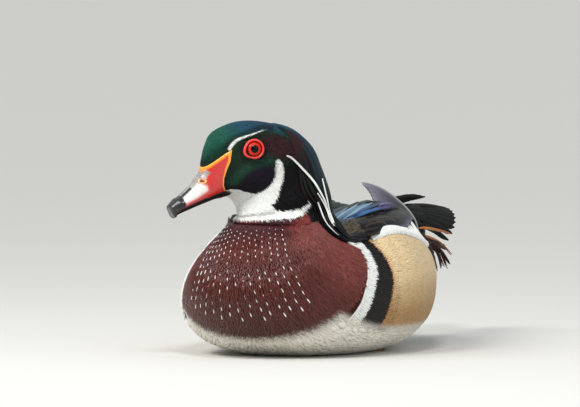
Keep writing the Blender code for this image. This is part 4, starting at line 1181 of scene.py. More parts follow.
@dataclass
class VaneStock:
    """Large feathers, each with its quill and two curved webs, gathered into one piece."""

    name: str
    steps: int = 16
    points: list[Array] = field(default_factory=list)
    faces: list[tuple[int, ...]] = field(default_factory=list)
    maps: list[Array] = field(default_factory=list)
    looks: dict[str, list[Array]] = field(default_factory=dict)
    count: int = 0

    TOP = np.array([-1.0, -0.62, -0.22, 0.0, 0.22, 0.62, 1.0])
    UNDER = np.array([0.62, 0.0, -0.62])

    def add(self, spine: Array, rise: Array, widths: Array, thick: float, look: "VaneLook",
            arch: float = 0.16,
            skew: float = 0.0) -> None:
        """Adds one feather.

        Args:
            spine: the quill's points in object coordinates, from root to tip.
            rise: outward direction at each point.
            widths: half widths in millimetres.
            thick: thickness at the quill in millimetres.
            look: its colours.
            arch: how far the webs curve down, as a share of the half width.
            skew: slope of the tip, positive where its right web is the longer.
        """
        run = unit(np.gradient(spine, axis=0))
        broad = unit(np.cross(run, rise))
        up = unit(np.cross(broad, run))
        start, rows, columns = self.count, len(spine), len(self.TOP) + len(self.UNDER)
        share = np.linspace(0, 1, rows)
        ring = []
        for k, c in enumerate(np.concatenate([self.TOP, self.UNDER])):
            height = -0.25 * thick - arch * widths * c * c
            if k < len(self.TOP):
                height = thick * (1 - c * c) + 0.35 * thick * (c == 0) - arch * widths * c * c
            ahead = -skew * c * widths * ease(share, 0.4, 0.9)
            ring.append(
                spine + (broad * (c * widths)[:, None] + up * height[:, None] + run * ahead[:, None]) * MM)
        self.points.append(np.stack(ring, 1).reshape(-1, 3))
        for i in range(rows - 1):
            for j in range(columns):
                k = (j + 1) % columns
                a, b = start + i * columns, start + (i + 1) * columns
                self.faces.append((a + j, a + k, b + k, b + j))
        self.faces.append(tuple(start + k for k in range(columns))[::-1])
        self.faces.append(tuple(start + (rows - 1) * columns + k for k in range(columns)))
        across = np.concatenate([self.TOP, self.UNDER]) * 0.5 + 0.5
        self.maps.append(np.stack(np.meshgrid(share, across, indexing="ij")[::-1], -1).reshape(-1, 2))
        for key, values in look.rows(share, np.concatenate([self.TOP, self.UNDER])).items():
            self.looks.setdefault(key, []).append(values)
        self.count += rows * columns

    def over(self, surface: Surface, start: tuple[float, float], end: tuple[float, float], half: float,
             lifts: Sequence[float], look: "VaneLook", bend: float = 0.0, blunt: float = 0.72,
             thick: float = 0.5,
             skew: float = 0.0) -> None:
        """Adds a feather that lies over a surface.

        Args:
            surface: what it lies on.
            start: its root in the surface's measures.
            end: its tip.
            half: its greatest half width in millimetres.
            lifts: how far root, middle and tip stand off the surface.
            look: its colours.
            bend: how far its middle is moved aside in the second measure.
            blunt: where along it the tip starts to round in.
            thick: thickness at the quill in millimetres.
            skew: slope of its tip.
        """
        f = np.linspace(0, 1, self.steps)
        u = start[0] + (end[0] - start[0]) * f
        v = start[1] + (end[1] - start[1]) * f + bend * 4 * f * (1 - f)
        lift = np.interp(f, [0, 0.5, 1], lifts)
        spine = surface(u, v, lift)
        rise = unit(surface(u, v, lift + 1.0) - spine)
        self.add(spine, rise, half * vane_width(f, blunt), thick, look, skew=skew)

    def build(self) -> bpy.types.Object:
        """The joined piece, with its maps and colours stored on it."""
        obj = mesh_object(self.name, np.concatenate(self.points), self.faces)
        corners = np.array([loop.vertex_index for loop in obj.data.loops])
        vane = np.concatenate(self.maps)
        set_attribute(obj, "Vane", vane[corners], "CORNER")
        across = math.ceil(math.sqrt(len(self.maps)))
        index = np.repeat(np.arange(len(self.maps)), [len(part) for part in self.maps])
        cell = np.stack([index % across, index // across], -1)
        set_attribute(obj, "OFBake", ((cell + 0.05 + 0.9 * vane) / across)[corners], "CORNER")
        for key, parts in self.looks.items():
            set_attribute(obj, key, np.concatenate(parts))
        return outward(obj, merge=False)


def vane_width(f: Array, blunt: float) -> Array:
    """The half width of a vane along its length, as a share of its greatest."""
    root = 0.3 + 0.7 * ease(f, 0.0, 0.4)
    tip = np.sqrt(np.clip(1 - np.clip((f - blunt) / (1 - blunt), 0, 1) ** 2.2, 0.0006, 1))
    return root * tip


@dataclass(frozen=True)
class VaneLook:
    """The colours of one large feather: its web, its tip, its outer and inner edges."""

    web: Colour
    far: Colour | None = None
    tip: Colour | None = None
    extent: float = 0.0
    edge: Colour | None = None
    edge_side: int = 0
    edge_width: float = 0.25
    shade: float = 0.5
    far_power: float = 1.0

    def rows(self, share: Array, across: Array) -> dict[str, Array]:
        """The stored colours of a feather's points.

        Args:
            share: place of each row along the feather.
            across: place of each column across it, from -1 to 1.

        Returns:
            Values by attribute name.
        """
        f, c = grid(share, across)
        tint = np.tile(self.web, (len(f), 1))
        if self.far is not None:
            blend(tint, f**self.far_power, self.far)
        if self.edge is not None:
            reach = c * self.edge_side if self.edge_side else np.abs(c)
            blend(tint, ease(reach, 1 - self.edge_width * 1.6, 1 - self.edge_width * 0.4), self.edge)
        tip = np.tile(self.tip if self.tip is not None else self.web, (len(f), 1))
        ones = np.ones(len(f))
        return {"tint": tints(tint), "tip": tints(tip, ones * self.extent), "shade": ones * self.shade}


def band(points: Sequence[tuple[float, float, float]], steps: int, side: int = 1) -> Array:
    """A smooth line through points of the body, in object coordinates.

    Args:
        points: (s, x, z) of each point it passes.
        steps: how many points it is given.
        side: 1 for the left, -1 for the right.

    Returns:
        The line's points.
    """
    line = spline(np.array(points, float), np.linspace(0, len(points) - 1, steps))
    return STANCE.place(line[:, 0], line[:, 1] * side, line[:, 2])


@dataclass(frozen=True)
class Skin:
    """The one skin under the coat, from the tail base to inside the bill."""

    depth: float = 1.1
    rows: int = 300
    columns: int = 144
    last: float = 22.6
    breast_border: tuple[float, float] = (7.2, 7.6)
    head_border: tuple[float, float] = (12.0, 12.3)
    # painted shade: the skin is darker than its feathers where it shows between them
    shade: float = 0.9  # how dark it is against its feathers

    def build(self) -> bpy.types.Object:
        """The closed skin with the coat's own markings."""
        turn = np.linspace(-180, 180, self.columns, endpoint=False)
        t, turn = grid(np.linspace(0, self.last, self.rows), turn)
        obj = capped_tube("skin", form_point(t, turn, -self.depth), self.columns)
        tint = trunk_dress(t, turn).tint
        for dress, border in ((breast_dress, self.breast_border), (head_dress, self.head_border)):
            tint = tint + (dress(t, turn).tint - tint) * ease(t, *border)[:, None]
        # darkens the skin's markings as painted shade under the coat
        tint = np.concatenate([tint, tint[:1], tint[-1:]]) * self.shade
        set_attribute(obj, "tint", tints(tint))
        return outward(obj)


@dataclass(frozen=True)
class Horn:
    """The bill: its swellings, nostrils and coloured fields."""

    nail_start: float = 25.55
    nail_rise: float = 0.5
    nostril: tuple[float, float] = (116.8, 108.1)
    nostril_size: tuple[float, float] = (1.3, 0.88)
    nostril_depth: float = 1.2
    ridge_streak: tuple = ((129.5, 98.5), (123.5, 103.6))
    groove: tuple = ((118.5, 110.2), (124.0, 104.2), (129.0, 99.0))
    rim_heights: tuple = (102, 112, 124)
    rim_widths: tuple = ((0.6, 0.9, 1.9), (0.2, 0.4, 1.2))
    rings: int = 190
    columns: int = 132
    white_field: tuple = (
        (131.8, 97.8), (122.6, 105.2), (117.8, 106.6), (114.6, 105.2), (114.0, 102.4), (120.7, 98.2),
        (129.3, 94.0), (130.8, 94.6),
    )
    ridge_field: tuple = (
        (129.5, 100.5), (121.5, 106.4), (114.5, 115.2), (112.2, 113.2), (115.2, 109.4), (121.0, 105.0),
        (128.6, 98.4),
    )
    nail_field: tuple = (
        (129.2, 99.2), (128.9, 96.6), (128.0, 94.4), (128.6, 91.0), (127.5, 84.0), (138.0, 76.0),
        (142.0, 98.0),
    )

    def from_nostril(self, s: Array, z: Array) -> Array:
        """Distance from the nostril's middle, 1 at its edge."""
        (middle_s, middle_z), (half_s, half_z) = self.nostril, self.nostril_size
        return np.hypot((s - middle_s) / half_s, (z - middle_z) / half_z)

    def lift(self, t: Array, turn: Array) -> Array:
        """How far the horn stands off the lofted form."""
        s, _, z, _ = form_measures(t, turn)
        far = np.abs(turn)
        lift = self.nail_rise * ease(t, self.nail_start, self.nail_start + 0.35) * ease(far, 78, 55)
        lift = lift + 0.25 * np.exp(-(((t - 26.9) / 0.35) ** 2)) * ease(far, 100, 60)
        lift = lift + 1.3 * ease(t, 26.35, 26.75) * ease(far, 95, 150)
        off = self.from_nostril(s, z)
        lift = lift - self.nostril_depth * ease(off, 1.15,
                                                0.45) + 0.35 * np.exp(-(((off - 1.45) / 0.35) ** 2))
        lip = to_line(BILL.mouth, s, z)
        lift = lift + 0.28 * np.exp(-((lip / 0.9) ** 2))
        groove = to_line(self.groove, s, z)
        return lift - 0.18 * np.exp(-((groove / 0.5) ** 2)) * (far > 12)

    def hue(self, s: Array, x: Array, z: Array, lower: bool) -> Array:
        """The horn's colours at points of the head.

        Args:
            s: distance forward.
            x: distance to the left.
            z: height.
            lower: whether the points are on the lower mandible.

        Returns:
            One colour row for each point.
        """
        if lower:
            return np.tile(shade("141012"), (len(s), 1))
        tint = np.tile(shade("c22a27"), (len(s), 1))
        line, top = to_line(BILL.mouth, s, z), to_line(BILL.border, s, z)
        back = to_line((BILL.border[0], *BILL.rear[::-1]), s, z)
        back_outer, back_inner = (np.interp(z, self.rim_heights, widths) for widths in self.rim_widths)
        speck = np.sin(s * 5.1 + np.sin(z * 3.7) * 2) * np.sin(z * 6.3 + np.abs(x) * 2.9)
        ridge = within(self.ridge_field, s, z, 1.0)
        streak = ease(to_line(self.ridge_streak, s, z), 0.8, 0.3) * (np.abs(x) > 1.5)
        off = self.from_nostril(s, z)
        for mask, code in (
            (ease(line, 3.2, 0.8) * (s < 127) * 0.5, "981815"),
            (within(self.white_field, s, z, 5.5) * 0.45, "e08a80"),
            (within(self.white_field, s, z, 2.2), "dad5d0"),
            (ridge * 0.92, "a5a3a0"),
            (ridge * ease(speck, 0.1, 0.7) * 0.85, "3c3a3c"),
            (streak, "1c1a1c"),
            (ease(off, 1.8, 1.4), "e3c274"),
            (ease(off, 1.25, 0.95), "a01a12"),
            # painted shade: the nostril's pit darkens to near black
            (ease(off, 0.65, 0.3), "4a0805"),
            (ease(top, 1.7, 1.0), "ee8f26"),
            (ease(back, back_outer, back_inner), "f0992a"),
            (ease(top, 0.7, 0.2), "f4ae35"),
            (within(self.nail_field, s, z, 0.7), "16151a"),
            (ease(line, 0.9, 0.4) * (s > 104), "3a0f10"),
        ):
            blend(tint, mask, shade(code))
        return tint

    def build(self, lower: bool) -> bpy.types.Object:
        """The upper bill or the lower mandible, parted from the lofted form.

        Args:
            lower: whether to make the mandible.

        Returns:
            The closed piece with its colours.
        """
        turn = np.linspace(-180, 180, self.columns, endpoint=False)
        t, turn = grid(np.linspace(18.6, len(STATION_TABLE) - 1, self.rings), turn)
        lift = -0.5 + 1.0 * ease(np.abs(turn), 115.0, 150.0) if lower else self.lift(t, turn)
        name = "bill_below" if lower else "bill_above"
        obj = outward(capped_tube(name, form_point(t, turn, lift), self.columns))
        cutter = side_prism(BILL.below() if lower else BILL.above(), 30.0, 0.25 if lower else -0.1)
        modifier = obj.modifiers.new("cut", "BOOLEAN")
        modifier.object, modifier.operation, modifier.solver = cutter, "INTERSECT", "MANIFOLD"
        mesh = applied_mesh(obj)
        obj.modifiers.clear()
        obj.data = mesh
        bpy.data.objects.remove(cutter)
        outward(obj)
        s, x, z = unplace_head(np.array([v.co for v in obj.data.vertices]))
        set_attribute(obj, "tint", tints(self.hue(s, x, z, lower)))
        return obj


def unplace_head(points: Array) -> tuple[Array, Array, Array]:
    """The head's own measures (s, x, z) of points in object coordinates."""
    turn = math.radians(STANCE.head_yaw)
    forward = -points[:, 1] / MM - STANCE.length_shift - STANCE.neck_axis
    left = points[:, 0] / MM
    s = forward * math.cos(turn) - left * math.sin(turn) + STANCE.neck_axis
    return s, forward * math.sin(turn) + left * math.cos(turn), points[:, 2] / MM


def side_prism(outline: Sequence[tuple[float, float]], reach: float, inset: float) -> bpy.types.Object:
    """A prism through the head over its side outline.

    Args:
        outline: corners (s, z).
        reach: half its length across the head.
        inset: how far its sides are drawn in.

    Returns:
        A closed object for cutting.
    """
    corners = [Vector(p) for p in outline]
    area = sum(a.cross(b) for a, b in zip(corners, corners[1:] + corners[:1]))
    turn = 1 if area > 0 else -1
    moved = []
    for before, here, after in zip(corners[-1:] + corners[:-1], corners, corners[1:] + corners[:1]):
        n1 = (here - before).orthogonal().normalized() * turn
        n2 = (after - here).orthogonal().normalized() * turn
        mitre = n1 + n2
        moved.append(here + mitre * (inset / max(mitre.dot(n1), 0.5)))
    count = len(moved)
    points = [STANCE.head(p.x, x, p.y) for x in (-reach, reach) for p in moved]
    faces: list[tuple[int, ...]] = [tuple(range(count)), tuple(range(2 * count - 1, count - 1, -1))]
    faces += [(k, count + k, count + (k + 1) % count, (k + 1) % count) for k in range(count)]
    return outward(mesh_object("prism", np.array(points), faces))


@dataclass(frozen=True)
class Eye:
    """One eye and its ring of bare skin."""

    side: int
    radius: float = 6.2
    look: tuple[float, float, float] = (0.16, 0.98, 0.10)
    pupil: float = 23.5  # degrees from the eye's axis
    iris: float = 48.5
    bulge: float = 0.045  # how far the clear front stands out, as a share of the radius
    rings: int = 90
    columns: int = 96
    lid_section: tuple = ((4.62, 4.5), (4.8, 5.35), (5.45, 5.75), (6.3, 5.0), (6.1, 3.5), (5.3, 3.6))
    lid_point: float = 0.2
    lid_point_turn: float = 205.0

    def axes(self) -> tuple[Vector, Vector, Vector, Vector]:
        """Its centre, and the directions it looks, forward and up."""
        s, x, z = EYE_CENTRE
        centre = STANCE.head(s, x * self.side, z)
        ahead, across, up = self.look
        axis = (STANCE.head(s + ahead, (x + across) * self.side, z + up) - centre).normalized()
        forward = (STANCE.head(s + 1, x * self.side, z) - centre).normalized()
        forward = (forward - axis * forward.dot(axis)).normalized()
        upward = axis.cross(forward) * self.side
        return centre, axis, forward, -upward if upward.z < 0 else upward

    def ball(self, name: str) -> bpy.types.Object:
        """The eyeball, with pupil, iris and dark rim."""
        centre, axis, forward, upward = self.axes()
        around = np.linspace(0, math.tau, self.columns, endpoint=False)
        p, a = grid(np.linspace(0, math.pi, self.rings)[1:-1], around)
        bulge = 1 + self.bulge * np.exp(-((np.degrees(p) / 34) ** 2))
        way = (
            np.outer(np.sin(p) * np.cos(a), forward) + np.outer(np.sin(p) * np.sin(a), upward)
            + np.outer(np.cos(p), axis)
        )
        points = np.array(centre) + way * (self.radius * MM * bulge)[:, None]
        ends = np.array(
            [centre + axis * (self.radius * MM * (1 + self.bulge)), centre - axis * (self.radius * MM)])
        obj = capped_tube(name, points, self.columns, ends)
        degrees = np.concatenate([np.degrees(p), [0, 180]])
        angle = np.concatenate([a, [0, 0]])
        ray = 0.5 + 0.5 * np.sin(angle * 37 + np.sin(angle * 11) * 3) * np.sin(angle * 23 + 1)
        tint = np.tile(shade("c41a12"), (len(degrees), 1))
        for mask, code in (
            (ray * 0.5, "ea4a2c"),
            (ease(degrees, self.iris - 8, self.iris - 2) * 0.4, "7a0806"),
            (ease(degrees, self.iris - 1.2, self.iris + 1.2), "060404"),
            (ease(degrees, self.pupil + 1.0, self.pupil - 1.0), "020202"),
        ):
            blend(tint, mask, shade(code))
        set_attribute(obj, "tint", tints(tint))
        return outward(obj)

    def lid(self, name: str) -> bpy.types.Object:
        """The ring of bare skin, drawn to a low point in front."""
        centre, axis, forward, upward = self.axes()
        section = np.array(self.lid_section)
        dense = spline(
            np.concatenate([section[-1:], section, section[:2]]), np.linspace(1, len(section) + 1, 25)[:-1])
        steps = 132
        turn = np.linspace(0, math.tau, steps, endpoint=False)
        peak = np.cos(turn - math.radians(180 - self.lid_point_turn))
        stretch = 1 + self.lid_point * np.maximum(peak, 0) ** 6
        way = np.outer(np.cos(turn), forward) + np.outer(np.sin(turn), upward)
        radius = dense[None, :, 0] * stretch[:, None]
        bead = 1 + 0.012 * np.sin(turn * 30)[:, None] * np.ones(len(dense))
        points = np.array(centre) + way[:, None, :] * (radius * bead * MM)[..., None]
        points = points + np.array(axis) * (dense[None, :, 1] * bead * MM)[..., None]
        total = steps * len(dense)
        faces = [tuple(k % total for k in face) for face in grid_faces(steps + 1, len(dense), True)]
        obj = mesh_object(name, points.reshape(-1, 3), faces)
        flat = radius.ravel()
        tint = np.tile(shade("d8301f"), (len(flat), 1))
        blend(tint, ease(flat, 4.9, 4.72), shade("120606"))
        blend(tint, ease(flat / np.repeat(stretch, len(dense)), 6.1, 6.35), shade("5a1410"))
        set_attribute(obj, "tint", tints(tint))
        return outward(obj)


@dataclass(frozen=True)
class Crest:
    """The long crest over nape and shoulder: a core, fine locks and its white lines."""

    locks: int = 126
    core_share: float = 0.8
    seed: int = 5
    line_start: tuple = ((16.8, 66.5), (16.42, 63.2))
    white_lines: tuple = (
        ((0.265, 0.91), (0.32, 0.82), (0.38, 0.78), (0.51, 0.79), (0.62, 0.80), (0.78, 0.78)),
        ((0.34, 0.60), (0.41, 0.64), (0.51, 0.72), (0.64, 0.74), (0.79, 0.74)),
        ((0.42, 0.84), (0.52, 0.84), (0.62, 0.82), (0.70, 0.80), (0.76, 0.79)),
        ((0.50, 0.94), (0.55, 0.95), (0.68, 0.94), (0.76, 0.93), (0.86, 0.92)),
    )

    def core(self) -> bpy.types.Object:
        """The dark mass under the locks, a closed pad sunk in the skin."""
        rows, columns = 60, 41
        a, b = grid(np.linspace(0, 1, rows), np.linspace(-1, 1, columns))
        t, turn, spread, height = np.moveaxis(spline(CREST_COURSE, a * (len(CREST_COURSE) - 1)), -1, 0)
        high = form_point(t, turn + spread * b, self.core_share * height * (1 - b**4) + 0.1)
        low = form_point(t, turn + spread * b, -2.2)
        obj = outward(pad("crest_core", high, low, rows, columns))
        # painted shade: the core is a darker copy of the locks' colours, where it shows between them
        set_attribute(obj, "tint", tints(np.tile(self.hue(a, b), (2, 1)) * 0.8))
        return obj

    def hue(self, along: Array, across: Array) -> Array:
        """The locks' colour by place: green and blue over the top, violet-brown and black below."""
        far = np.abs(across)
        mixed = np.tile(Hue.CREST_GREEN.value, (len(far), 1))
        for mask, hue in (
            (ease(along, 0.25, 0.05) * ease(far, 0.9, 0.5) * 0.85, Hue.CROWN_BLUE),
            (ease(far, 0.4, 0.65) * ease(along, 0.03, 0.08) * ease(along, 0.32, 0.22) * 0.8, Hue.TEMPLE),
            (ease(along, 0.2, 0.5) * 0.7, Hue.FACE_BLACK),
            (ease(along, 0.5, 0.9) * 0.4, Hue.CREST_PURPLE),
            (ease(far, 0.75, 0.95) * ease(along, 0.26, 0.36), Hue.FACE_BLACK),
        ):
            mixed = mixed + (np.array(hue.value) - mixed) * mask[:, None]
        return mixed

    def build(self) -> bpy.types.Object:
        """All the locks in one piece."""
        chance = np.random.default_rng(self.seed)
        stock = VaneStock("crest_locks", steps=18)
        for k in range(self.locks):
            row = k % 6
            across = -0.98 + 1.96 * ((k * 0.618034) % 1.0)
            start = max(0.0, 0.02 + row * 0.11 + chance.uniform(-0.03, 0.03))
            end = min(1.0, start + chance.uniform(0.42, 0.6) + row * 0.02)
            pull = 1 - 0.25 * ease(np.array(end), 0.6, 1.0) * (abs(across) < 0.8)
            tip = across * float(pull) + chance.uniform(-0.04, 0.04)
            lift = -0.9 + 0.28 * row + chance.uniform(-0.15, 0.15)
            near, far = self.hue(np.array([start, (start + end) / 2 + 0.05]), np.array([across, tip]))
            look = VaneLook(tuple(near), far=tuple(far), shade=chance.uniform(0.2, 0.8), far_power=0.45)
            stock.over(crest_point, (start, across), (end, tip), chance.uniform(1.5, 2.2),
                       (lift - 0.9, lift, lift + 0.5),
                       look, bend=chance.uniform(-0.03, 0.03), blunt=0.35, thick=0.35)
        for order, line in enumerate(self.white_lines):
            for side in (1, -1):
                marks = np.array(line)
                spots = [crest_point(marks[:, 0], marks[:, 1] * side, lift) for lift in (1.0, 2.0)]
                if order == 0:
                    start = np.array(self.line_start)
                    spots = [np.concatenate([form_point(start[:, 0], start[:, 1] * side, lift), spot])
                             for lift, spot in zip((1.2, 2.2), spots)]
                steps = stock.steps + 10 * (order == 0)
                spine, above = (spline(spot, np.linspace(0, len(spot) - 1, steps)) for spot in spots)
                widths = (1.15 if order == 0 else 0.9) * np.sin(np.pi * np.linspace(0.06, 0.97, steps)) ** 0.5
                stock.add(spine, unit(above - spine), widths, 0.4, VaneLook(Hue.WHITE.value, shade=0.6))
        return stock.build()


@dataclass(frozen=True)
class Wing:
    """One folded wing: its bed, coverts, scapulars, tertials and flight feathers."""

    label: str
    scapular_rows: tuple = ((0.93, 6), (0.82, 6))
    strips: tuple = (
        ((0.02, 0.84), (0.34, 0.80), "4f6674"), ((0.05, 0.79), (0.40, 0.75), "7d9fb4"),
        ((0.10, 0.75), (0.46, 0.70), "9dbccd"), ((0.14, 0.71), (0.50, 0.655), "6c8fac"),
        ((0.19, 0.675), (0.54, 0.615), "8fb2cc"), ((0.24, 0.64), (0.56, 0.56), "44628c"),
        ((0.25, 0.60), (0.50, 0.50), "4672ab"), ((0.33, 0.57), (0.60, 0.475), "574f92"),
        ((0.42, 0.60), (0.70, 0.52), "77709c"), ((0.46, 0.55), (0.76, 0.46), "3c3a58"),
    )
    covert_rows: tuple = ((0.44, 7), (0.32, 7), (0.21, 7))
    tip_edges: dict = field(default_factory=lambda: {
        "left": [(-45, 47, 70), (-60, 36, 78), (-75, 20, 86.6), (-92, 0, 93.8), (-110, -21, 96.6)],
        "right": [(-45, 47, 69), (-60, 36, 76), (-75, 20, 81.5), (-90, 3, 85.2), (-103, -13, 89),
                  (-110, -22, 87.6)],
    })
    tip_reach: dict = field(default_factory=lambda: {
        "left": [(6, -3), (8, -4), (7.5, -3.4), (6, -2.4), (1, -0.6)],
        "right": [(6, -3), (8, -3), (7.5, -1.6), (6, -1), (3, -0.8), (1, -0.4)],
    })
    primaries: int = 7

    @property
    def side(self) -> int:
        """1 for the left wing, -1 for the right."""
        return SIDES[self.label]

    def bed(self) -> bpy.types.Object:
        """The smooth mass under the feathers."""
        rows, columns = 40, 24
        surface = wing_surface(self.side)
        a, b = grid(np.linspace(0, 1, rows), np.linspace(0, 1, columns))
        high = surface(a, b, -0.8)
        row = spline(WING_ROWS, a * (len(WING_ROWS) - 1))
        x = row[:, 1] + (row[:, 7] - row[:, 1]) * b - 1.5
        z = row[:, 2] + (row[:, 8] - row[:, 2]) * b - 5.5
        low = STANCE.place(row[:, 0], x * self.side, z)
        obj = outward(pad("wing_bed_" + self.label, high, low, rows, columns))
        # painted shade: the bed is a darker copy of the back's colour where it shows between feathers
        set_attribute(
            obj, "tint", tints(np.tile(np.array(Hue.BACK.value) * 0.8, (len(obj.data.vertices), 1))))
        return obj

    def dress(self, a: Array, b: Array) -> Dress:
        """The small coverts over shoulder and forewing."""
        look = Dress.plain(len(a), Hue.COVERT.value)
        look.paint(ease(b, 0.56, 0.66) * ease(a, 0.1, 0.25) * ease(a, 0.46, 0.3) * 0.7, Hue.COVERT_BLUE.value)
        look.paint(ease(b, 0.72, 0.9), Hue.BACK.value)
        look.paint(ease(b, 0.34, 0.2), Hue.PRIMARY.value)
        look.paint_tip(np.full(len(a), 0.45), Hue.BACK.value, 0.3)
        return look

    def build(self) -> bpy.types.Object:
        """All the large feathers of the wing in one piece."""
        chance = np.random.default_rng(20 + self.side)
        stock = VaneStock("wing_vanes_" + self.label, steps=16)
        surface = wing_surface(self.side)
        violet, dark = Hue.VIOLET.value, Hue.TERTIAL.value
        for row, (b, count) in enumerate(self.covert_rows):
            for k in range(count):
                a = 0.10 + 0.10 * k + 0.03 * row
                look = VaneLook(dark, edge=Hue.COVERT.value, edge_width=0.06, shade=chance.uniform(0.3, 0.7))
                stock.over(surface, (a, b + 0.03), (a + 0.23, b - 0.05), 6.2 - 0.6 * row,
                           (-1.4, 0.1, 0.7 + 0.25 * row), look)
        self.add_primaries(stock, chance)
        for k in range(5):
            a, b = 0.30 + 0.075 * k, 0.34 + 0.045 * k
            look = VaneLook(
                dark, edge=violet, edge_side=self.side, edge_width=0.1, shade=chance.uniform(0.4, 0.6))
            stock.over(surface, (a, b), (a + 0.40, b - 0.06), 6.8, (-0.8, 1.0, 1.8), look, blunt=0.62)
        for k in range(4):
            a, b = 0.52 + 0.06 * k, 0.50 + 0.09 * k
            look = VaneLook(dark, edge=Hue.PRIMARY.value, edge_side=self.side, edge_width=0.14, shade=0.5)
            stock.over(surface, (a, b), (min(a + 0.52, 1.10), 0.34 + 0.13 * k), 7.2, (-0.6, 1.4, 2.3), look,
                       blunt=0.55)
        for k, (start, end, code) in enumerate(self.strips):
            look = VaneLook(
                shade(code), far=tuple(np.array(shade(code)) * 0.7), edge=dark, edge_width=0.3, shade=0.5)
            stock.over(surface, start, end, 2.3, (-0.3, 1.5 + 0.1 * k, 2.0 + 0.08 * k), look, blunt=0.4)
        for row, (b, count) in enumerate(self.scapular_rows):
            for k in range(count):
                a = 0.05 + 0.125 * k + 0.03 * row
                top = np.array(Hue.BACK.value) * 0.8 + np.array(Hue.CROWN_GREEN.value) * 0.08
                look = VaneLook(tuple(top), shade=chance.uniform(0.3, 0.7))
                stock.over(surface, (a, b), (a + 0.27, b - 0.035), 6.6, (-0.9, 0.9, 1.5 + 0.2 * row), look)
        return stock.build()

    def add_primaries(self, stock: VaneStock, chance: np.random.Generator) -> None:
        """Adds the flight feathers of the wing's tip, the leading one longest."""
        edge, reach = np.array(self.tip_edges[self.label], float), np.array(self.tip_reach[self.label], float)
        f = np.linspace(0, 1, stock.steps)
        for k in range(self.primaries):
            g = k / (self.primaries - 1)
            t = f * (len(edge) - 1 - 0.95 * g)
            line, shift = spline(edge, t), spline(reach, t)
            inward = 0.4 + 1.5 * g
            height = (0.28 if self.side > 0 else 0.5) * (self.primaries / 2 - k)
            spine = STANCE.place(line[:, 0] + shift[:, 0] * inward, line[:, 1] * self.side,
                                 line[:, 2] + shift[:, 1] * inward + height)
            slope = STANCE.place(shift[:, 0], shift[:, 0] * 0, shift[:, 1]) - STANCE.place(0, 0, 0)
            rise = unit(np.cross(np.gradient(spine, axis=0), slope))
            rise *= np.where(rise[:, 2:] < 0, -1, 1)
            widths = 3.9 * vane_width(f, 0.4)
            look = VaneLook(Hue.TAIL.value, shade=chance.uniform(0.4, 0.6))
            if self.side > 0:
                leading = k == 0
                look = VaneLook(Hue.TERTIAL.value, far=Hue.SILVER.value,
                                edge=Hue.WHITE.value if leading else Hue.TERTIAL.value,
                                edge_side=self.side if leading else 0, edge_width=0.26 if leading else 0.3,
                                shade=chance.uniform(0.4, 0.7), far_power=3.0)
            stock.add(spine, rise, widths, 0.55, look, arch=0.06)


def tail_surface(a: Array, b: Array, lift: Array | float = 0.0) -> Array:
    """A point over the spread tail, a from root to tip and b across it from -1 to 1."""
    root_s, root_z, root_half, tip_s, tip_z, tip_half = -100.0, 79.5, 9.0, -189.0, 77.5, 23.0
    drop, rounded = 19.0, 48.0

    def flat(a: Array, b: Array) -> Array:
        """A point of the fan itself."""
        far = np.abs(b)
        s = root_s + (tip_s + rounded * far**2.6 - root_s) * a
        x = b * (root_half + (tip_half - root_half) * a)
        z = root_z + (tip_z - root_z) * a + 3.5 * np.sin(np.pi * a) - (8 + (drop - 8) * a) * far**1.9
        return STANCE.place(s, x, z)

    a, b = np.broadcast_arrays(np.asarray(a, float), np.asarray(b, float))
    here = flat(a, b)
    rise = unit(np.cross(flat(a, b + 0.03) - flat(a, b - 0.03), flat(a + 0.03, b) - flat(a - 0.03, b)))
    rise *= np.where(rise[..., 2:] < 0, -1, 1)
    return here + rise * np.asarray(lift, float)[..., None] * MM


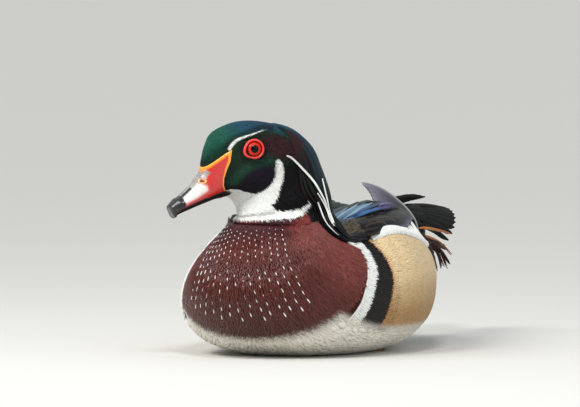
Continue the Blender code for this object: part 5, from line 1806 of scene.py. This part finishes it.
@dataclass(frozen=True)
class Tail:
    """The tail: its long feathers, their coverts above and below, and the side plumes."""

    count: int = 18
    covert_rows: int = 4
    covert_columns: int = 7
    under_rows: int = 7
    under_columns: int = 11
    first_dark: int = 3  # the plumes from this one on are dark
    plumes: tuple = (
        ((-85, 33, 71), (-113, 31, 67.9), (-140, 27, 64.2), 1.05),
        ((-85, 33.5, 66.5), (-106, 34, 61.2), (-130, 31, 52.3), 0.95),
        ((-87, 34.5, 63), (-100, 35.5, 57.8), (-118, 33.5, 49.6), 0.85),
        ((-84, 33, 64), (-100, 34, 61), (-117, 33, 57), 1.1),
        ((-84, 33, 64), (-100, 36, 58), (-112, 37.5, 48), 1.3),
        ((-84, 33, 63), (-94, 36.5, 57), (-99, 37.5, 47), 1.4),
        ((-84, 33, 63), (-97, 36, 57.5), (-105, 37.5, 46.5), 1.2),
        ((-80, 35, 62), (-85, 37.5, 56), (-90, 38, 46.5), 2.0),
    )

    def vanes(self) -> bpy.types.Object:
        """The tail feathers and the coverts over their roots, in one piece."""
        chance = np.random.default_rng(9)
        stock = VaneStock("tail_vanes", steps=34)
        order = sorted(range(self.count), key=lambda k: -abs(2 * k + 1 - self.count))
        for rank, k in enumerate(order):
            b = (2 * k + 1) / self.count - 1
            look = VaneLook(
                Hue.TAIL.value, edge=Hue.RUMP.value, edge_width=0.2, shade=chance.uniform(0.35, 0.65))
            drop = -0.9 + 0.09 * rank
            stock.over(tail_surface, (-0.05, b * 0.85), (1.0, b), 5.0 - 1.6 * abs(b),
                       (drop - 0.8, drop, drop), look, blunt=0.9,
                       thick=0.5, skew=float(np.sign(b) * min(1.6 * abs(b), 1.3)))
        middle = (self.covert_columns - 1) // 2
        for row in range(self.covert_rows):
            for k in range(self.covert_columns):
                b = (k - middle) / 3.2 + (0.12 if row % 2 else 0)
                a = -0.26 + 0.13 * row
                look = VaneLook(tuple(np.array(Hue.RUMP.value) * 1.2), shade=chance.uniform(0.3, 0.7))
                stock.over(
                    tail_surface, (a, b * 0.8), (a + 0.34, b * 0.92), 5.4, (0.2, 1.3, 1.0), look, blunt=0.6)
        return stock.build()

    def underside(self) -> bpy.types.Object:
        """The coverts under the tail, in one piece round a tapering core."""
        chance = np.random.default_rng(10)
        stock = VaneStock("undertail_vanes", steps=12)
        core = np.array([
            (-88, 50, 15, 8), (-108, 54, 15, 8.5), (-126, 59, 11.5, 6.5), (-142, 64, 7, 3.5),
            (-152, 67, 2.5, 1.2),
        ], float)
        for row in range(self.under_rows):
            for k in range(self.under_columns):
                turn = math.radians(-150 + 30 * k + (15 if row % 2 else 0))
                f = np.linspace(0, 1, stock.steps)
                line = spline(core, np.clip(row * 0.42 + f * 1.25, 0, 4))
                swell = 0.98 + 0.10 * f
                x, z = line[:, 2] * math.sin(turn) * swell, line[:, 1] - line[:, 3] * math.cos(turn) * swell
                spine = STANCE.place(line[:, 0], x, z)
                rise = unit(spine - STANCE.place(line[:, 0], 0.0, line[:, 1]))
                look = VaneLook(
                    Hue.UNDERTAIL.value, tip=Hue.RUMP.value, extent=0.4, shade=chance.uniform(0.3, 0.7))
                stock.add(
                    spine, rise, 5.2 * vane_width(f, 0.5) * np.clip(line[:, 2] / 11, 0.25, 1), 0.4, look)
        return stock.build()

    def side_plumes(self, label: str) -> bpy.types.Object:
        """The long bent plumes of one side, each of several fine strands."""
        side = SIDES[label]
        chance = np.random.default_rng(30 + side)
        stock = VaneStock("plume_strands_" + label, steps=14)
        f = np.linspace(0, 1, stock.steps)
        for index, ((s, x, z), bend, tip, half) in enumerate(self.plumes):
            dark = index >= self.first_dark
            for _ in range(5 if dark else 2):
                off = chance.normal(0, 1, 3) * ((0.8, 0.5, 0.9) if dark else (0.3, 0.3, 0.35))
                end = np.array(tip) + off * 1.5
                spine = band([(s + 6, x - 4, z), (s, x, z + off[2]), tuple(np.array(bend) + off), tuple(end)],
                             stock.steps, side)
                rise = np.tile(np.array(STANCE.body(s - 1, (x + 3) * side, z) - STANCE.body(s, x * side, z)),
                               (stock.steps, 1))
                hue = Hue.REAR_MAROON.value if dark else Hue.RUST.value
                web = np.array(hue) * chance.uniform(0.75, 1.15)
                look = VaneLook(
                    tuple(web), far=tuple(web * (1.0 if dark else 0.45)), shade=chance.uniform(0.4, 0.6))
                stock.add(spine, unit(rise), half * vane_width(f, 0.3) * chance.uniform(0.5, 0.9), 0.3, look)
        return stock.build()


@dataclass(frozen=True)
class FlankFringe:
    """The long white, black-edged feathers that curl from the flank over the wing."""

    label: str
    rows: int = 3
    per_row: int = 46

    def build(self) -> bpy.types.Object:
        """The fringe in one piece."""
        side = SIDES[self.label]
        chance = np.random.default_rng(40 + side)
        stock = VaneStock("flank_fringe_" + self.label, steps=12)
        low, high = flank_surface(side), wing_surface(side)
        f = np.linspace(0, 1, stock.steps)
        for row in range(self.rows):
            for k in range(self.per_row):
                share = (k + 0.5 * (row % 2) + chance.uniform(-0.2, 0.2)) / self.per_row
                a = 0.27 + 0.66 * share
                start = low(np.array(a), np.array(0.93 + 0.02 * row), -0.3)
                s_here = -start[1] / MM - STANCE.length_shift
                w = float(np.interp(-(s_here - 13), -WING_ROWS[:, 0], np.linspace(0, 1, len(WING_ROWS))))
                b = 0.03 + 0.04 * row
                b *= float(np.interp(share, [0, 0.2, 0.5, 0.75, 0.86, 1.0], [0.35, 0.8, 0.8, 1.0, 2.0, 0.9]))
                b *= chance.uniform(0.75, 1.25)
                middle = low(np.array(min(a + 0.05, 0.99)), np.array(1.0), 1.1)
                end = high(np.array(min(w, 0.98)), np.array(b), 1.1 + 0.25 * row)
                line = spline(np.stack([start, middle, end]), f * 2)
                rise = unit(line - STANCE.place(-line[:, 1] / MM - STANCE.length_shift, 0.0 * side, 66.0))
                black = chance.uniform() < 0.5
                look = VaneLook(Hue.WHITE.value, tip=Hue.BAR_BLACK.value if black else Hue.WHITE.value,
                                extent=0.05 if black else 0.0, shade=chance.uniform(0.4, 0.6))
                stock.add(line, rise, (1.1 + 0.8 * min(share * 3, 1)) * vane_width(f, 0.4), 0.3, look)
        return stock.build()


@dataclass(frozen=True)
class ShoulderBar:
    """The white bar ahead of the right flank, whose feathers stand a little off the breast."""

    count: int = 60
    rows: int = 2

    def build(self) -> bpy.types.Object:
        """The bar's feathers in one piece."""
        chance = np.random.default_rng(6)
        stock = VaneStock("shoulder_bar", steps=9)
        marks = spline(np.array(SHOULDER_BAR), np.linspace(0, len(SHOULDER_BAR) - 1, self.count))
        for row in range(self.rows):
            for t, turn in marks:
                start = t + 0.12 - 0.1 * row + chance.uniform(-0.02, 0.02)
                stock.over(form_point, (start, -turn), (start - 0.26, -turn), 1.9, (-0.4, 0.9, 1.2),
                           VaneLook(Hue.WHITE.value),
                           blunt=0.6, thick=0.25)
        return stock.build()


@dataclass(frozen=True)
class BreastSpots:
    """The white drops of the breast, in columns that fan from the collar."""

    columns: int = 15
    rows: int = 13
    first: float = 11.9  # station of the top row
    run: float = 3.6  # stations from the top row to the last
    spread: float = 55.0  # degrees from the middle column to an outer one

    def build(self) -> bpy.types.Object:
        """Small white feather tips set on the breast, in one piece."""
        stock = VaneStock("breast_spots", steps=7)
        chance = np.random.default_rng(3)
        f = np.linspace(0, 1, stock.steps)
        for k in range(self.columns):
            fan = (k - (self.columns - 1) / 2) / ((self.columns - 1) / 2)
            for row in range(self.rows):
                share = (row + 0.5 * (k % 2)) / self.rows
                t = self.first - self.run * share
                turn = 180 + fan * self.spread * (1 - 0.12 * share) + chance.uniform(-1.2, 1.2)
                size = 0.2 + 0.3 * share
                length = 1.2 + 2.3 * share
                here = form_point(np.array(t), np.array(turn), 0.0)
                below = form_point(np.array(t - 0.05), np.array(turn), 0.0)
                way = unit(below - here)
                spine = here + way * (f[:, None] * length * MM)
                out = unit(form_point(np.array(t), np.array(turn), 1.0) - here)
                spine = spine + out * (0.25 + 0.1 * np.sin(np.pi * f))[:, None] * MM
                stock.add(spine, np.tile(out, (stock.steps, 1)), size * (
                    0.25 + 0.75 * np.sin(np.pi * np.minimum(f * 0.85 + 0.05, 1))),
                          0.2, VaneLook(Hue.WHITE.value))
        return stock.build()


@dataclass(frozen=True)
class Studio:
    """A plain pale floor, soft light and the camera at the photograph's viewing angle."""

    azimuth: float = 24.5
    elevation: float = 3.0
    target: tuple[float, float, float] = (-0.0308, -0.0090, 0.0883)
    distance: float = 7.0
    frame_width: float = 0.3596
    sensor: float = 36.0
    floor_size: float = 60.0

    def build(self) -> None:
        """Sets floor, light and camera."""
        mesh = bpy.data.meshes.new("floor")
        half = self.floor_size / 2
        mesh.from_pydata(
            [(-half, -half, 0), (half, -half, 0), (half, half, 0), (-half, half, 0)], [], [(0, 1, 2, 3)])
        material, graph, shader = new_material("pale_floor")
        graph.feed(shader, {"Base Color": (*shade("d9d8d3"), 1.0), "Roughness": 0.9})
        mesh.materials.append(material)
        add_object("floor", mesh)
        world = bpy.data.worlds.new("studio")
        world.use_nodes = True
        sky = world.node_tree.nodes["Background"]
        Graph(world.node_tree).feed(sky, {"Color": (0.93, 0.97, 1.0, 1.0), "Strength": 0.5})
        bpy.context.scene.world = world
        self.sun("key_light", (-0.25, -0.68, 0.8), 1.5, 24.0, (1.0, 0.97, 0.92))
        self.sun("fill_light", (0.9, -0.3, 0.5), 0.45, 50.0, (0.92, 0.96, 1.0))
        self.panel("gloss_panel", (0.3, -0.66, 0.92), 0.24, 5.0)
        self.panel("sheen_panel", (-0.62, -0.42, 0.8), 0.26, 2.6)
        az, el = math.radians(self.azimuth), math.radians(self.elevation)
        back = Vector((math.sin(az) * math.cos(el), -math.cos(az) * math.cos(el), math.sin(el)))
        data = bpy.data.cameras.new("camera")
        data.sensor_width = self.sensor
        data.lens = self.sensor * self.distance / self.frame_width
        data.clip_end = 200.0
        camera = add_object("camera", data)
        camera.location = Vector(self.target) + back * self.distance
        camera.rotation_mode = "QUATERNION"
        camera.rotation_quaternion = (-back).to_track_quat("-Z", "Y")
        bpy.context.scene.camera = camera
        bpy.context.scene.view_settings.view_transform = "Standard"

    def sun(self, name: str, origin: tuple[float, float, float], strength: float, spread: float,
            hue: Colour) -> None:
        """Adds a broad, parallel light that comes from a direction."""
        data = bpy.data.lights.new(name, "SUN")
        data.energy, data.angle, data.color = strength, math.radians(spread), hue
        lamp = add_object(name, data)
        lamp.rotation_mode = "QUATERNION"
        lamp.rotation_quaternion = Vector(origin).to_track_quat("Z", "Y")

    def panel(self, name: str, origin: tuple[float, float, float], size: float, power: float) -> None:
        """Adds a square soft light near the bird, turned to it."""
        data = bpy.data.lights.new(name, "AREA")
        data.energy, data.size = power, size
        lamp = add_object(name, data)
        lamp.location = origin
        lamp.rotation_mode = "QUATERNION"
        lamp.rotation_quaternion = Vector(origin).to_track_quat("Z", "Y")


def dress_feet(finish: bpy.types.Material) -> None:
    """Gives the folded feet their ochre skin."""
    for label in SIDES:
        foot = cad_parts["foot_" + label]
        foot.data.materials.clear()
        foot.data.materials.append(finish)
        LOG.info("foot_%s dressed", label)


def foot_finish() -> bpy.types.Material:
    """Ochre skin with small scales, read from object coordinates."""
    material, graph, shader = new_material("foot_skin")
    place = graph.node("ShaderNodeTexCoord").outputs["Object"]
    scales = graph.node("ShaderNodeTexVoronoi", {"Vector": place, "Scale": 900.0})
    mixed = graph.mix(scales.outputs["Distance"], (*shade("c08a3a"), 1.0), (*shade("6d5a3c"), 1.0))
    bump = graph.node(
        "ShaderNodeBump", {"Strength": 0.4, "Distance": 0.0002, "Height": scales.outputs["Distance"]})
    graph.feed(shader, {"Base Color": mixed, "Normal": bump.outputs[0], "Roughness": 0.5})
    return material


def side_coats(label: str) -> list[tuple[Coat, str, str, tuple[str, ...]]]:
    """The coats of one side, each with its finish, the name of a material slot that is not used, and the
    nodes it stands for.
    """
    side = SIDES[label]
    k = 1 if side > 0 else 2
    u0 = 0.0 if side > 0 else 0.5
    wing = Wing(label)
    return [
        (Coat("head_coat_" + label, form_point, (11.8, 23.0, 366), (0.0, 180.0 * side, 220), head_dress,
              0.50, 3.0, 0.95, stand=0.10, ruffle=0.10, sunk=-0.55, shape="hair", seed=k,
              unwrap=(u0, 0.55, 0.45, 0.45)),
         "silk", "feather_green", ()),
        (Coat("breast_coat_" + label, form_point, (6.9, 12.75, 150), (38.0 * side, 180.0 * side, 150),
              breast_dress, 1.05, 7.0, 1.6, stand=0.085, ruffle=0.05, sunk=-0.75, seed=10 + k,
              unwrap=(u0, 0.28, 0.45, 0.25)),
         "breast", "feather_chestnut", ()),
        (Coat("trunk_coat_" + label, form_point, (0.02, 7.6, 130), (0.0, 180.0 * side, 130), trunk_dress,
              1.7, 8.0, 3.8, stand=0.10, ruffle=0.10, sunk=-0.8, seed=20 + k, unwrap=(u0, 0.0, 0.45, 0.25)),
         "soft", "feather_white", ()),
        (Coat("flank_coat_" + label, flank_surface(side), (0.0, 1.0, 200), (0.0, 1.0, 120),
              flank_dress if side > 0 else far_flank_dress, 1.15, 6.0, 2.6, flow=(1.0, -0.06), stand=0.045,
              ruffle=0.015, sunk=-0.9, seed=30 + k, unwrap=(0.0, 0.0, 0.9, 0.9)),
         "barred", "feather_buff", ("flank_" + label,)),
        (Coat("covert_coat_" + label, wing_surface(side), (0.0, 0.62, 90), (0.0, 1.0, 90), wing.dress,
              1.5, 6.0, 3.4, flow=(1.0, 0.0), stand=0.12, ruffle=0.12, sunk=-0.9, seed=40 + k,
              unwrap=(0.0, 0.0, 0.9, 0.9)),
         "satin", "feather_blue", ()),
    ]


def flank_bed(label: str) -> bpy.types.Object:
    """The closed form under the flank's feathers."""
    side = SIDES[label]
    surface = flank_surface(side)
    rows, columns = 60, 40
    a, b = grid(np.linspace(0, 1, rows), np.linspace(0, 1, columns))
    obj = pad("flank_bed_" + label, surface(a, b, -1.0), surface(a, b, -8.0), rows, columns)
    look = flank_dress(a, b) if side > 0 else far_flank_dress(a, b)
    # painted shade: the bed is a darker copy of the flank's colours where it shows between feathers
    set_attribute(obj, "tint", tints(np.tile(look.tint, (2, 1)) * 0.85))
    return outward(obj)


def main() -> None:
    """Builds the duck's pieces in order, then the studio."""
    logging.basicConfig(level=logging.INFO, format="%(name)s: %(message)s")
    finishes = {
        key: finish.make()
        for key, finish in {
            "silk": FeatherFinish(
                "silk_feathers", roughness=0.38, metallic=0.3, sheen=0.0, painted_root_shade=0.12, barb_rows=5.0,
                mottle=0.22),
            "satin": FeatherFinish(
                "satin_feathers", roughness=0.45, sheen=0.0, barb_rows=9.0, mottle=0.16, specular=0.14),
            "breast": FeatherFinish(
                "breast_feathers", roughness=0.3, sheen=0.0, barb_rows=5.0, mottle=0.2, specular=0.5),
            "soft": FeatherFinish("soft_feathers", roughness=0.65, sheen=0.0, barb_rows=11.0, specular=0.08),
            "barred": FeatherFinish(
                "barred_feathers", roughness=0.58, sheen=0.08, barb_rows=9.0, bars=4.0, mottle=0.12),
            "gloss": FeatherFinish(
                "gloss_vanes", roughness=0.34, metallic=0.15, sheen=0.0, barb_rows=34.0, shaft=0.8,
                specular=0.15),
            "soot": FeatherFinish(
                "soot_vanes", roughness=0.5, sheen=0.0, barb_rows=34.0, shaft=0.5, specular=0.07),
            "white": FeatherFinish("white_vanes", roughness=0.6, sheen=0.1, barb_rows=18.0, mottle=0.08),
            "skin": HornFinish("coat_skin", roughness=0.7, coat=0.0, mottle=0.15, specular=0.08),
            "horn": HornFinish(
                "bill_horn", roughness=0.3, coat=0.35, grain=700.0, mottle=0.10, subsurface=0.05),
            "eye": HornFinish(
                "eye_glass", roughness=0.05, coat=0.0, grain=2500.0, depth=0.0, mottle=0.0, specular=0.2),
            "lid": HornFinish(
                "lid_skin", roughness=0.4, coat=0.2, grain=2600.0, depth=0.3, mottle=0.2, subsurface=0.1),
        }.items()
    }
    finish_piece(Skin().build(), finishes["skin"], ("torso", "neck", "head"))
    horn = Horn()
    finish_piece(horn.build(False), finishes["horn"], ("bill_upper",))
    finish_piece(horn.build(True), finishes["horn"], ("bill_lower",))
    for label, side in SIDES.items():
        finish_piece(Eye(side).ball("eye_ball_" + label), finishes["eye"], ("eye_" + label,))
        finish_piece(Eye(side).lid("eye_ring_" + label), finishes["lid"], ("eyelid_" + label,))
    plumage = PlumageMaker()
    for label in SIDES:
        finish_piece(flank_bed(label), finishes["skin"], ())
        for coat, finish, slot, nodes in side_coats(label):
            finish_piece(plumage.grow(coat.bed(), coat, finishes[finish]), finishes[finish], nodes)
        wing = Wing(label)
        finish_piece(wing.bed(), finishes["skin"], ())
        finish_piece(wing.build(), finishes["gloss"], ("wing_" + label,))
        finish_piece(FlankFringe(label).build(), finishes["white"], ())
        finish_piece(Tail().side_plumes(label), finishes["satin"], ("plumes_" + label,))
    crest = Crest()
    finish_piece(crest.core(), finishes["skin"], ())
    finish_piece(crest.build(), finishes["gloss"], ("crest",))
    finish_piece(Tail().vanes(), finishes["soot"], ("tail",))
    finish_piece(Tail().underside(), finishes["satin"], ("undertail",))
    finish_piece(ShoulderBar().build(), finishes["white"], ())
    finish_piece(BreastSpots().build(), finishes["white"], ())
    dress_feet(foot_finish())
    Studio().build()


if __name__ == "__main__":
    main()
